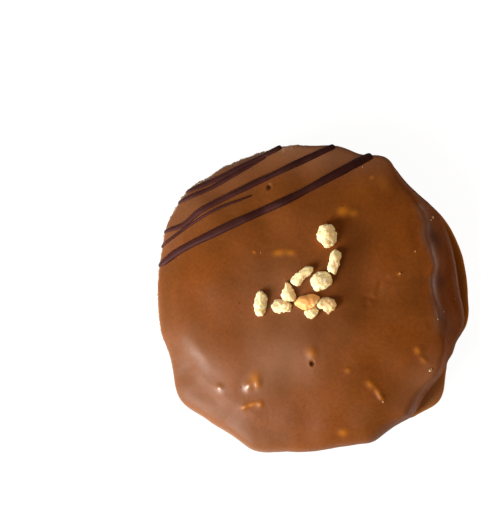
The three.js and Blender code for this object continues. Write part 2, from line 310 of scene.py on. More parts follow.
@dataclass(frozen=True)
class CoatForm:
    """The form of the chocolate coat, in mm: a low uneven dome, its wavy side and its foot."""

    # The outline's radius and the height of the middle of the top.
    radius: float = 40.9
    crown: float = 13.0
    # How flat the dome's middle is, and where it hands over to the side: inside the shoulder and above it.
    dome_power: float = 2.6
    dome_edge: float = 2.5
    dome_edge_rise: float = 1.0
    # The side from the shoulder down: its wall, which is a share of the way out, its bulge and a groove.
    shoulder_height: float = 9.6
    shoulder_inset: float = 4.0
    wall_share: float = 0.76
    wall_height: float = 6.6
    bulge_height: float = 3.2
    groove_height: float = 1.7
    groove_depth: float = 0.4
    # The thin foot, where the chocolate ran down. It is tucked under the bulge where no swell brings it out.
    foot_top: float = 1.1
    foot_edge: float = 0.5
    foot_lip: float = 0.3
    foot_undercut: float = 0.55
    foot_tuck: float = 0.6
    # The curve's first stretch only gives its start the dome's slope.
    section_start: float = 1 / 8

    # What each of them varies by round the rim. The inset's swells bring the shoulder in.
    outline_swells: tuple[Swell, ...] = (
        Swell(5, 0.2, 13), Swell(45, -2.0, 10), Swell(57.5, 0.9, 4), Swell(66, -1.2, 5), Swell(78, -2.3, 9),
        Swell(94, -2.1, 8), Swell(109, -0.3, 5), Swell(125, 0.5, 4), Swell(138, 1.4, 4.5),
        Swell(149, 3.1, 18), Swell(150, 0.75, 5), Swell(163, -0.4, 4), Swell(180, 0.1, 8),
        Swell(201, -0.7, 5), Swell(217.5, 2.7, 6.5), Swell(231, 0.4, 4), Swell(250.5, 1.2, 5),
        Swell(261, -0.3, 4), Swell(279, -1.7, 13), Swell(294.5, 0.6, 3), Swell(304, -0.7, 5),
        Swell(322, 1.7, 4.5), Swell(334.5, -1.2, 4), Swell(344, -0.9, 3), Swell(351.5, 0.5, 4),
    )
    foot_swells: tuple[Swell, ...] = (
        Swell(6, 2.6, 12), Swell(23, 0.8, 7), Swell(143, 1.9, 26), Swell(180, 0.7, 10), Swell(322, 3.8, 5.5),
    )
    inset_swells: tuple[Swell, ...] = (
        Swell(7.3, 0.5, 1.8), Swell(12, -0.4, 2), Swell(28, -1.8, 6), Swell(41, -1.9, 5), Swell(57, -4.4, 9),
        Swell(76, -4.1, 8), Swell(95, -4.6, 9), Swell(150, 1.6, 24), Swell(201, -0.4, 5),
        Swell(217.5, 1.7, 6.5), Swell(238, 2.6, 32), Swell(250.5, 0.8, 5), Swell(279, -0.6, 13),
        Swell(294.5, 0.4, 3), Swell(313, -2.9, 15), Swell(334, -2.4, 7), Swell(348, -1, 6),
        Swell(359, 0.9, 4),
    )
    # The wall is hollow here.
    wall_swells: tuple[Swell, ...] = (Swell(2, -0.44, 24),)
    shoulder_swells: tuple[Swell, ...] = (
        Swell(140, -1.3, 34), Swell(40, -0.5, 18), Swell(238, -0.9, 42), Swell(325, -0.4, 18),
    )

    # Lumps and hollows of the top, and long swells of it that follow one another round by the golden angle.
    mounds: tuple[Mound, ...] = (
        Mound(-26, -14, 0.45, 8, 3.5, -50), Mound(-12, -27, 0.4, 8, 5, -20), Mound(28, 9, 0.5, 8, 5, 95),
        Mound(14, 5, -0.45, 9, 6, 60), Mound(22, -22, 0.4, 7, 5, 40), Mound(2, -33, -0.4, 6, 4, 10),
        Mound(8, 24, 0.4, 9, 5, 25),
    )
    waves: int = 6
    wave_length: float = 27.0
    wave_height: float = 0.17
    wave_shrink: float = 0.8
    wave_turn: float = 137.5
    wave_phase: float = 2.1

    # The torn edge grows from the first pair of angles and ends over the second. It runs at its level, over
    # the shoulder before lifted_to, and down on the foot between the two pairs of over_foot.
    torn_from: Pair = (84, 98)
    torn_to: Pair = (170, 200)
    torn_level: float = 5.2
    torn_lift: float = 3.7
    lifted_to: Pair = (97, 106)
    torn_drop: float = 4.45
    over_foot: tuple[Pair, Pair] = ((127, 132), (151, 156))

    def sections(self, degrees: Numbers) -> Sections:
        """The side's section at each angle.

        Args:
            degrees: the angles round the rim.

        Returns:
            The radii and heights that the section there is built from.
        """
        outline = self.radius + swells_at(self.outline_swells, degrees)
        foot = swells_at(self.foot_swells, degrees) - self.foot_tuck
        bulge = outline - np.maximum(foot, 0)
        shoulder = bulge - self.shoulder_inset - swells_at(self.inset_swells, degrees)
        share = self.wall_share + swells_at(self.wall_swells, degrees)
        return Sections(
            bulge=bulge,
            shoulder=shoulder,
            foot=outline + np.minimum(foot, 0),
            shoulder_height=self.shoulder_height + swells_at(self.shoulder_swells, degrees),
            wall=shoulder + share * (bulge - shoulder),
        )

    def dome_height(self, radius: Numbers, at: Sections) -> Numbers:
        """Height of the smooth dome at a distance from the middle, towards each angle.

        Args:
            radius: the distance from the middle, one an angle.
            at: the sections there.

        Returns:
            One height an angle, in mm.
        """
        edge = at.shoulder_height + self.dome_edge_rise
        share = np.maximum(radius, 0) / (at.shoulder - self.dome_edge)
        return self.crown - (self.crown - edge) * share**self.dome_power

    def side_points(self, at: Sections) -> list[tuple[Numbers, Numbers]]:
        """What the side's section runs through, as (radius, height), from the dome to the underside.

        Args:
            at: the sections at a ring of angles.

        Returns:
            The points from the dome down, each with one radius and one height an angle.
        """
        inner, edge = at.shoulder - 2 * self.dome_edge, at.shoulder - self.dome_edge
        level = np.ones_like(at.bulge)
        return [
            (inner, self.dome_height(inner, at)),
            (edge, self.dome_height(edge, at)),
            (at.shoulder, at.shoulder_height),
            (at.wall, self.wall_height * level),
            (at.bulge, self.bulge_height * level),
            (np.minimum(at.bulge, at.foot) - self.groove_depth, self.groove_height * level),
            (at.foot - self.foot_lip, self.foot_top * level),
            (at.foot, self.foot_edge * level),
            (at.foot - self.foot_undercut, 0 * level),
        ]

    def side_at(self, share: float, at: Sections) -> tuple[Numbers, Numbers]:
        """A place along the side's section, from 0 on the dome to 1 on the underside.

        Args:
            share: how far along the section it is.
            at: the sections at a ring of angles.

        Returns:
            The radius and the height at each angle, on a Catmull-Rom curve through the section's points.
        """
        points = self.side_points(at)
        last = len(points) - 1
        i = min(int(share * last), last - 1)
        w = share * last - i
        before, start, end, after = (points[k] for k in (max(i - 1, 0), i, i + 1, min(i + 2, last)))
        curve = []
        for axis in (0, 1):
            p0, p1, p2, p3 = before[axis], start[axis], end[axis], after[axis]
            v1, v2 = (p2 - p0) / 2, (p3 - p1) / 2
            curve.append(
                (2 * p1 - 2 * p2 + v1 + v2) * w**3 + (3 * p2 - 3 * p1 - 2 * v1 - v2) * w**2 + v1 * w + p1
            )
        return curve[0], curve[1]

    def torn(self, degrees: Numbers) -> Numbers:
        """How torn and chalky the edge is at each angle, from 0 to 1."""
        return smoothstep(degrees, *self.torn_from) * (1 - smoothstep(degrees, *self.torn_to))

    def torn_height(self, degrees: Numbers) -> Numbers:
        """How high the torn edge runs: over the shoulder, the bulge, the foot and the bulge again.

        Args:
            degrees: the angles round the rim.

        Returns:
            One height an angle, in mm.
        """
        on_foot = smoothstep(degrees, *self.over_foot[0]) * (1 - smoothstep(degrees, *self.over_foot[1]))
        lifted = 1 - smoothstep(degrees, *self.lifted_to)
        return self.torn_level + self.torn_lift * lifted - self.torn_drop * on_foot

    def relief(self, x: Numbers, y: Numbers) -> Numbers:
        """Lumps, hollows and long swells of the top, in mm.

        Args:
            x: the places along X.
            y: the places along Y.

        Returns:
            One height a place.
        """
        height = sum(mound.at(x, y) for mound in self.mounds)
        for i in range(self.waves):
            length = self.wave_length * self.wave_shrink**i
            along, _ = turned(x, y, i * self.wave_turn)
            height = height + self.wave_height * self.wave_shrink**i * np.sin(
                2 * math.pi * along / length + i * self.wave_phase
            )
        return height


# ---- Meshes -------------------------------------------------------------------------------------------


def finish(bm: Bm, name: str, slot: Slot, material: bpy.types.Material) -> bpy.types.Object:
    """Turns a shape in mm into a piece in metres that rides on the body.

    Args:
        bm: the shape, which is freed.
        name: the piece's name.
        slot: the finish that it takes.
        material: what it is dressed in.

    Returns:
        The object, at the origin.
    """
    bmesh.ops.scale(bm, vec=(MM, MM, MM), verts=bm.verts)
    mesh = bpy.data.meshes.new(name)
    bm.to_mesh(mesh)
    bm.free()
    mesh.shade_smooth()
    mesh.materials.append(material)
    piece = bpy.data.objects.new(name, mesh)
    bpy.context.scene.collection.objects.link(piece)
    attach(piece, BODY)
    triangles = sum(len(face.vertices) - 2 for face in mesh.polygons)
    log.info("%s: %d triangles, finish %s", name, triangles, slot.value)
    return piece


def coordinates(bm: Bm) -> Numbers:
    """The places of a shape's vertices, one row each."""
    return np.array([vert.co[:] for vert in bm.verts])


def place(bm: Bm, points: Numbers) -> None:
    """Moves a shape's vertices to the places in points."""
    for vert, point in zip(bm.verts, points.tolist()):
        vert.co = point


def paint(bm: Bm, mark: Mark, values: Numbers) -> None:
    """Writes one value a vertex for the material to read.

    Args:
        bm: the shape.
        mark: what the values are called in the material.
        values: one value a vertex.
    """
    layer = bm.verts.layers.float.new(mark.value)
    for vert, value in zip(bm.verts, values.tolist()):
        vert[layer] = value


@dataclass(frozen=True)
class Coat:
    """The milk chocolate coat, over nut pieces that push small bumps into it."""

    form: CoatForm = CoatForm()
    round_segments: int = 640
    base_rows: int = 3
    side_rows: int = 46
    top_rows: int = 94

    nuts: tuple[CoveredNut, ...] = (
        CoveredNut(-11.7, -21.0, 4.2, 3.2, 60, 0.55, 1.0, 0.7),
        CoveredNut(-13.3, -22.7, 2.8, 2.4, 40, 0.75, 0.15, 0.7),
        CoveredNut(-10.9, -22.2, 2.4, 1.6, 80, 0.4, 0.8, 0.7),
        CoveredNut(-21.6, -23.2, 2.0, 1.8, 0, 0.45, 0.3, 0.7),
        CoveredNut(-14.9, -28.1, 1.9, 1.2, 30, 0.3, 0.8),
        CoveredNut(-12.7, -27.4, 3.0, 1.1, 15, 0.2, 0.9),
        CoveredNut(-10.6, -27.4, 1.6, 1.4, 60, 0.3, 0.8),
        CoveredNut(18.3, -22.2, 2.3, 1.7, -40, 0.3, 0.8),
        CoveredNut(20.2, -24.3, 2.4, 1.3, -60, 0.35, 0.9),
        CoveredNut(21.0, -25.6, 1.6, 1.2, -60, 0.4, 0.5),
        CoveredNut(30.2, -13.9, 1.9, 1.6, -66, 0.35, 1.0),
        CoveredNut(31.5, -16.3, 2.0, 1.1, -40, 0.25, 0.7),
        CoveredNut(16.5, 27.5, 9.0, 8.0, 0, 0.0, 0.1),
        CoveredNut(11.8, 21.2, 3.2, 2.8, 20, 0.3, 1.0),
        CoveredNut(14.4, 20.6, 2.6, 2.2, 0, 0.2, 0.6),
        CoveredNut(-5.0, 11.1, 3.4, 1.8, 10, 0.15, 0.8),
        CoveredNut(-1.8, 11.0, 3.0, 1.6, -10, 0.12, 0.7),
        CoveredNut(3.6, -14.4, 3.0, 2.6, 90, 0.5, 0.6),
        CoveredNut(10.6, -34.4, 2.6, 1.8, 20, 0.35, 0.7),
        CoveredNut(12.8, -18.8, 1.6, 1.2, 0, 0.2, 0.6),
        CoveredNut(22.0, 28.4, 6.0, 3.6, -60, 0.2, 0.35),
        CoveredNut(-11.5, 11.4, 0.9, 0.7, 0, 0.12, 0.9),
        CoveredNut(25.8, 5.0, 1.0, 0.8, 0, 0.15, 1.0),
        CoveredNut(18.9, 29.6, 1.0, 0.8, 0, 0.12, 0.9),
    )
    pits: tuple[Pit, ...] = (Pit(3.6, -17.0, 1.2, 0.7), Pit(-8.0, 28.3, 1.3, 0.6), Pit(33.8, -7.4, 2.6, 0.1))
    creases: tuple[Crease, ...] = (
        Crease(((22.5, 4.1), (21.0, 2.9), (20.2, -0.9), (17.9, -0.8), (17.3, -2.4)), 0.16, 1.1),
    )
    side_marks: tuple[SideMark, ...] = (
        SideMark(5, 19, 3.5, 0.5, 0.45), SideMark(5, 17, 5.4, 1.1, -0.5), SideMark(5, 19, 2.0, 0.5, -0.7),
        SideMark(322, 8, 2.4, 0.4, -0.3), SideMark(330, 7, 6.5, 1.2, 0.3),
    )
    # The wavy roll of the shoulder on the +X side, and the soft hollow that runs along its outer side.
    roll: Crease = Crease(
        (
            (30.6, 21.6), (31.6, 19.4), (32.2, 17.4), (31.9, 14.4), (33.6, 11.2), (34.8, 8.2), (34.8, 6.2),
            (34.1, 3.6), (34.1, 1.6), (34.7, -2.4), (35.3, -6.2), (35.5, -9.0),
        ),
        deep=-0.25,
        wide=2.4,
    )
    lee: Crease = Crease(
        (
            (33.2, 19.0), (33.7, 17.2), (34.3, 14.4), (35.6, 11.2), (36.3, 8.1), (36.1, 5.6), (35.3, 2.4),
            (35.9, -0.2), (36.5, -2.7), (37.0, -6.4), (37.1, -9.4),
        ),
        deep=0.35,
        wide=2.2,
    )
    lee_fade: Pair = (4, 6)
    # Small lumps and hollows.
    details: tuple[Mound, ...] = (
        Mound(34.5, 14.2, -0.8, 2.0, 1.1, 105), Mound(35.6, 3.2, -0.7, 1.6, 0.9, 95),
        Mound(37.6, -2.0, -0.7, 2.6, 0.9, 100), Mound(30.2, 14.8, -0.3, 2.6, 1.3, 100),
        Mound(32.2, 4.6, -0.25, 2.4, 1.4, 90), Mound(-27.2, -13.2, 0.25, 3.2, 1.4, -54),
        Mound(-31.5, -8.0, -0.22, 4, 2.5, -54),
    )
    # Faint rings in the chocolate round a place.
    ripple_at: Pair = (-23.5, -23.5)
    ripple_length: float = 0.95
    ripple_height: float = 0.01
    ripple_over: float = 4.5
    # How the chocolate rises against an almond: from this share of the almond's reach, over this one more.
    almond_rise: float = 0.18
    almond_rise_from: float = 0.7
    almond_rise_over: float = 0.35
    almond_rise_power: float = 1.5

    # Random unevenness: waves, more of them on the side, a fine grain, and the tear of the torn edge.
    waves: Waves = Waves(5.5, 0.04, 1)
    side_waves: float = 2.5
    side_fade: Pair = (6.5, 10.5)
    grain: Waves = Waves(1.6, 0.018, 2)
    tear: Waves = Waves(0.9, 0.4, 3)
    tear_over: float = 0.5
    flat_fade: Pair = (0.0, 0.5)

    # Tones, from -1 dark to 1 light: by is the tone. Some are the chocolate's own tone, and some are painted
    # shade and painted light, such as the painted shadow that the almonds cast up and to the right.
    tone_light_and_shade_patches: tuple[Mound, ...] = (
        Mound(24, 26, -0.5, 6, 4, -50), Mound(25, 12, 0.7, 12, 6, 95), Mound(29, -14, 1.0, 6, 4, 80),
        Mound(14, 8, -0.6, 9, 4, 70), Mound(-2, -33, -0.3, 9, 4, 10), Mound(12, -8, -0.5, 7, 3, 20),
        Mound(25, -3, -0.5, 6, 5, 80), Mound(16, 28, 1.0, 5, 5, 0), Mound(10, -24, 0.3, 8, 5, 0),
        Mound(-10, 26, -1.0, 30, 12, 20), Mound(-26, 8, 0.6, 8, 5, 20), Mound(-27, 4, 0.5, 5, 5),
        Mound(18, 27, 0.6, 4, 4), Mound(26.8, 3.6, -1.2, 4, 4), Mound(32.5, -4.4, -0.6, 3, 4),
        Mound(24, -20.3, -0.7, 5, 4), Mound(19, -33.6, -0.7, 4, 4), Mound(5.6, -38.9, -0.5, 4, 3),
        Mound(29.5, 17, 0.8, 3, 3), Mound(31, -1, 0.6, 3, 3),
    )
    # Dark patches, where by is the share of dark: mostly painted shade, the shadow that the almonds cast and
    # the dark of the hollows by the roll, with some darker clouding.
    dark_and_shade_patches: tuple[Mound, ...] = (
        Mound(14.5, 11.0, 0.32, 6, 3.4, 80), Mound(5, 22.5, 0.22, 4, 3, 60), Mound(12, 1.5, 0.14, 4, 3, 60),
        Mound(24.5, 28, 0.2, 4, 2.5, 60), Mound(31, 14.5, 0.3, 4, 1.5, 105), Mound(35, -8, 0.2, 5, 1.6, 95),
        Mound(26, -26, 0.16, 5, 3, 40), Mound(9, -7, 0.12, 5, 3, 0), Mound(34.6, 14, 0.7, 1.8, 1.0, 105),
        Mound(35.8, 3.2, 0.6, 1.6, 0.8, 95), Mound(-33, -2, 0.07, 6, 6),
        Mound(33, -8.3, 0.2, 5, 2.2, 95), Mound(38, -6.5, 0.1, 4, 1.8, 95),
        Mound(22.5, -31, 0.16, 4, 2.5, 30), Mound(1, -33.5, 0.12, 5, 2.5, 0), Mound(3.5, -10, 0.1, 3, 3, 0),
    )
    # Pale patches of painted sheen and painted light, where by is the share of pale.
    painted_sheen_patches: tuple[Mound, ...] = (
        Mound(8, 36.5, 0.34, 15, 4, -6), Mound(-20, 33, 0.22, 9, 5, 30), Mound(-36, 20, 0.22, 8, 4, 60),
        Mound(33.5, -21, 0.3, 5, 4, 50), Mound(29, -28.5, 0.16, 4, 3, 40), Mound(-5, -3, 0.18, 9, 9),
        Mound(-7, -18.5, 0.36, 9, 5, 15), Mound(-27, -14, 0.2, 7, 4, -50),
    )
    # The same for the side: its dark line of painted shade in the groove, its pale patches of painted sheen
    # and light, and the gloss over its bulge.
    side_painted_shade: tuple[SideMark, ...] = (SideMark(5, 24, 2.0, 0.5, 0.75),)
    side_painted_sheen: tuple[SideMark, ...] = (
        SideMark(225, 32, 2.5, 2.8, 0.9), SideMark(217, 7, 2.5, 2.8, -0.315),
        SideMark(322, 9, 1.4, 1.3, 0.45),
    )
    side_gloss: tuple[SideMark, ...] = (SideMark(5, 24, 3.5, 0.4, 0.7),)
    # A glossy streak of the top, where by is the share of gloss, and how sharply the roll's gloss narrows.
    streak: Mound = Mound(-28.4, -13.2, 0.16, 3.5, 1.4, -54)
    roll_power: int = 3
    # How much painted shade the hollow beside the roll gets, the most painted shade in a pit, and over what
    # of its width.
    lee_shade: float = 0.28
    pit_shade: float = 0.6
    pit_spread: float = 1 / 3
    # How thin the chocolate is over a nut falls off faster than the nut does.
    thin_power: float = 1.5
    # The chalky line along the torn edge.
    chalk_share: float = 1.6
    chalk_over: float = 0.4
    # The thin foot's honey colour, partly thinner chocolate and partly painted light where the foot lies in
    # shade: its height and spread, and where it spreads higher up and is less clear.
    foot_height: float = 0.6
    foot_over: float = 0.6
    foot_spread: Swell = Swell(322, 0.5, 9)
    foot_fade: Swell = Swell(322, 0.4, 9)

    def blank(self) -> Bm:
        """A blank rolled from a grid, closed at its seam and ends, whose heights count its rows.

        Returns:
            The blank, whose vertices still stand for a row and a segment.
        """
        rows = self.base_rows + self.side_rows + self.top_rows
        bm = bmesh.new()
        bmesh.ops.create_grid(bm, x_segments=self.round_segments, y_segments=rows, size=0.5)
        turn, up = (coordinates(bm)[:, :2] + 0.5).T
        turn, out = 2 * math.pi * turn, self.form.radius * np.sin(math.pi * up)
        place(bm, np.stack([out * np.cos(turn), out * np.sin(turn), self.form.crown * up], axis=1))
        bmesh.ops.remove_doubles(bm, verts=bm.verts, dist=MERGE)
        bmesh.ops.recalc_face_normals(bm, faces=bm.faces)
        return bm

    def rows(self, degrees: Numbers) -> tuple[Numbers, Numbers]:
        """The coat's rows from the underside up.

        Args:
            degrees: the angles of the segments.

        Returns:
            The radius and the height of each row at each angle.
        """
        at = self.form.sections(degrees)
        radii, heights = [], []
        for row in range(self.base_rows):
            radii.append((at.foot - self.form.foot_undercut) * row / self.base_rows)
            heights.append(np.zeros_like(degrees))
        for row in range(self.side_rows):
            share = 1 - (1 - self.form.section_start) * row / self.side_rows
            radius, height = self.form.side_at(share, at)
            radii.append(radius)
            heights.append(height)
        for row in range(self.top_rows + 1):
            radius = (at.shoulder - self.form.dome_edge) * (1 - row / self.top_rows)
            radii.append(radius)
            heights.append(self.form.dome_height(radius, at))
        return np.array(radii), np.array(heights)

    def fine_relief(self, x: Numbers, y: Numbers) -> Numbers:
        """Nut bumps, pits, creases and the rise of the chocolate against the almonds, in mm.

        Args:
            x: the places along X.
            y: the places along Y.

        Returns:
            One height a place.
        """
        height = sum(nut.by * nut.share(x, y) for nut in self.nuts)
        for mark in self.pits + self.creases + self.details + (self.roll,):
            height = height + mark.at(x, y)
        apart = np.hypot(x - self.ripple_at[0], y - self.ripple_at[1])
        ripples = np.sin(2 * math.pi * apart / self.ripple_length) * bell(apart, self.ripple_over)
        height = height + self.ripple_height * ripples
        for almond in ALMONDS:
            apart = np.maximum(almond.reach(x, y) - self.almond_rise_from, 0) / self.almond_rise_over
            height = height + self.almond_rise * np.exp(-(apart**self.almond_rise_power))
        return height

    def shape(self, bm: Bm) -> None:
        """Moves the blank's vertices to the coat's form and paints its marks.

        Args:
            bm: the blank.
        """
        blank = coordinates(bm)
        count = self.base_rows + self.side_rows + self.top_rows
        row = np.rint(blank[:, 2] / self.form.crown * count).astype(int)
        turn = np.arctan2(blank[:, 1], blank[:, 0]) / (2 * math.pi) % 1
        segment = np.rint(turn * self.round_segments).astype(int) % self.round_segments
        angles = np.arange(self.round_segments) * 360 / self.round_segments
        radii, heights = self.rows(angles)
        degrees, radius, height = angles[segment], radii[row, segment], heights[row, segment]
        x, y = radius * np.cos(np.radians(degrees)), radius * np.sin(np.radians(degrees))
        fade = smoothstep(height, self.form.bulge_height, self.form.shoulder_height)
        on_top = smoothstep(height, self.form.wall_height, self.form.shoulder_height)
        z = height + fade * self.form.relief(x, y) + on_top * self.fine_relief(x, y)
        points = np.stack([x, y, np.maximum(z, 0)], axis=1)
        place(bm, points)
        bm.normal_update()
        self.refine(bm, points, degrees, height)
        self.mark(bm, points, degrees, height)

    def refine(self, bm: Bm, points: Numbers, degrees: Numbers, height: Numbers) -> None:
        """Rolls, hollows and small waves, along the surface's normals and off the flat underside.

        Args:
            bm: the shape.
            points: the vertices' places.
            degrees: their angles round the rim.
            height: their heights on the smooth section.
        """
        normals = np.array([vert.normal[:] for vert in bm.verts])
        side = 1 - smoothstep(height, *self.side_fade)
        torn = self.form.torn(degrees) * bell(height - self.form.torn_height(degrees), self.tear_over)
        push = sum(mark.on(degrees, height) for mark in self.side_marks)
        push = push + (1 + self.side_waves * side) * self.waves.at(points) + self.grain.at(points)
        push = push + torn * self.tear.at(points)
        push = push + smoothstep(height, *self.lee_fade) * self.lee.at(points[:, 0], points[:, 1])
        push = push * smoothstep(height, *self.flat_fade)
        moved = points + normals * push[:, None]
        moved[:, 2] = np.maximum(moved[:, 2], 0)
        place(bm, moved)

    def mark(self, bm: Bm, points: Numbers, degrees: Numbers, height: Numbers) -> None:
        """Paints where the coat is thin, its tone with painted shade and light, where it is chalky, its
        painted sheen and painted shade, where it is glossy, and its foot, partly painted light.

        Args:
            bm: the shape.
            points: the vertices' places.
            degrees: their angles round the rim.
            height: their heights on the smooth section.
        """
        x, y = points[:, 0], points[:, 1]
        thin = sum(nut.thin * nut.share(x, y) ** self.thin_power for nut in self.nuts)
        # Tone, with painted shade and painted light among it.
        tone = sum(tone.at(x, y) for tone in self.tone_light_and_shade_patches)
        torn = self.form.torn(degrees)
        edge = bell(height - self.form.torn_height(degrees), self.chalk_over)
        # The foot's honey, partly painted light where the foot lies in shade.
        less, more = swells_at((self.foot_fade,), degrees), swells_at((self.foot_spread,), degrees)
        foot = (1 - torn) * (1 - less) * bell(height - self.foot_height, self.foot_over + more)
        # Painted sheen and painted light on the side and the top.
        pale = sum(mark.on(degrees, height) for mark in self.side_painted_sheen)
        pale = pale + sum(bloom_and_sheen.at(x, y) for bloom_and_sheen in self.painted_sheen_patches)
        # Some of these are painted light: the tone takes in painted shade and light, the foot is partly
        # painted light, the dark share is painted shade and the pale share is painted sheen.
        paint(bm, Mark.THIN, np.clip(thin, 0, 1))
        paint(bm, Mark.TONE, np.clip(tone, -1, 1))
        paint(bm, Mark.CHALK, np.clip(self.chalk_share * torn * edge, 0, 1))
        paint(bm, Mark.FOOT_AND_PAINTED_LIGHT, np.clip(foot, 0, 1))
        paint(bm, Mark.DARK_AND_SHADE, self.speck_and_shade_share(x, y, degrees, height))
        paint(bm, Mark.PAINTED_SHEEN, np.clip(pale, 0, 1))
        paint(bm, Mark.GLOSS, np.clip(self.gloss_share(x, y, degrees, height), 0, 1))

    def speck_and_shade_share(self, x: Numbers, y: Numbers, degrees: Numbers, height: Numbers) -> Numbers:
        """How much painted shade the dark patches, the pits, the side's dark line and the hollow by the roll
        get.

        Args:
            x: the places along X.
            y: the places along Y.
            degrees: their angles round the rim.
            height: their heights on the smooth section.

        Returns:
            One share a place, up to about 1.
        """
        deep = sum(mark.on(degrees, height) for mark in self.side_painted_shade)
        deep = deep + np.clip(sum(shade.at(x, y) for shade in self.dark_and_shade_patches), 0, 1)
        deep = deep - self.lee_shade * self.lee.at(x, y) / self.lee.deep
        for pit in self.pits:
            dark = bell(np.hypot(x - pit.x, y - pit.y), pit.across * self.pit_spread)
            deep = np.maximum(deep, dark * min(self.pit_shade, pit.deep))
        return deep

    def gloss_share(self, x: Numbers, y: Numbers, degrees: Numbers, height: Numbers) -> Numbers:
        """How glossy the side's bulge, the roll, the clearest nuts and the streak are.

        Args:
            x: the places along X.
            y: the places along Y.
            degrees: their angles round the rim.
            height: their heights on the smooth section.

        Returns:
            One share a place, which may be over 1.
        """
        gloss = sum(mark.on(degrees, height) for mark in self.side_gloss)
        gloss = gloss + (self.roll.at(x, y) / abs(self.roll.deep)) ** self.roll_power
        return gloss + sum(nut.gloss * nut.share(x, y) for nut in self.nuts) + self.streak.at(x, y)

    def build(self) -> bpy.types.Object:
        """The coat as a finished piece in place of the solid.

        Returns:
            The coat.
        """
        bm = self.blank()
        self.shape(bm)
        piece = finish(bm, "coat", Slot.MILK, MilkChocolate().material())
        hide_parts(SOLID)
        return piece


class Ground:
    """The finished coat, for setting pieces on it from above or from the side."""

    def __init__(self, coat: bpy.types.Object) -> None:
        """Keeps the coat's faces, in metres as they are."""
        self.tree = BVHTree.FromObject(coat, bpy.context.evaluated_depsgraph_get())

    def under(self, x: float, y: float) -> tuple[Vector, Vector] | None:
        """The point and the normal under a place seen from above, in mm, or None past the edge.

        Args:
            x: the place along X.
            y: the place along Y.

        Returns:
            The point in mm and the normal, or None.
        """
        point, normal, _, _ = self.tree.ray_cast(Vector((x * MM, y * MM, CLEAR)), Vector((0, 0, -1)))
        if point is None:
            return None
        return point / MM, normal

    def beside(self, degrees: float, height: float) -> Vector:
        """The point of the side at an angle and a height, in mm.

        Args:
            degrees: the angle round the rim.
            height: the height over the underside.

        Returns:
            The point.
        """
        out = Vector((math.cos(math.radians(degrees)), math.sin(math.radians(degrees)), 0))
        point, _, _, _ = self.tree.ray_cast(out * CLEAR + Vector((0, 0, height * MM)), -out)
        return point / MM


@dataclass(frozen=True)
class Line:
    """A line of drizzle, in mm: its points are (x, y) seen from above, and each end narrows over its tip."""

    width: float
    tips: Pair
    points: tuple[Pair, ...]


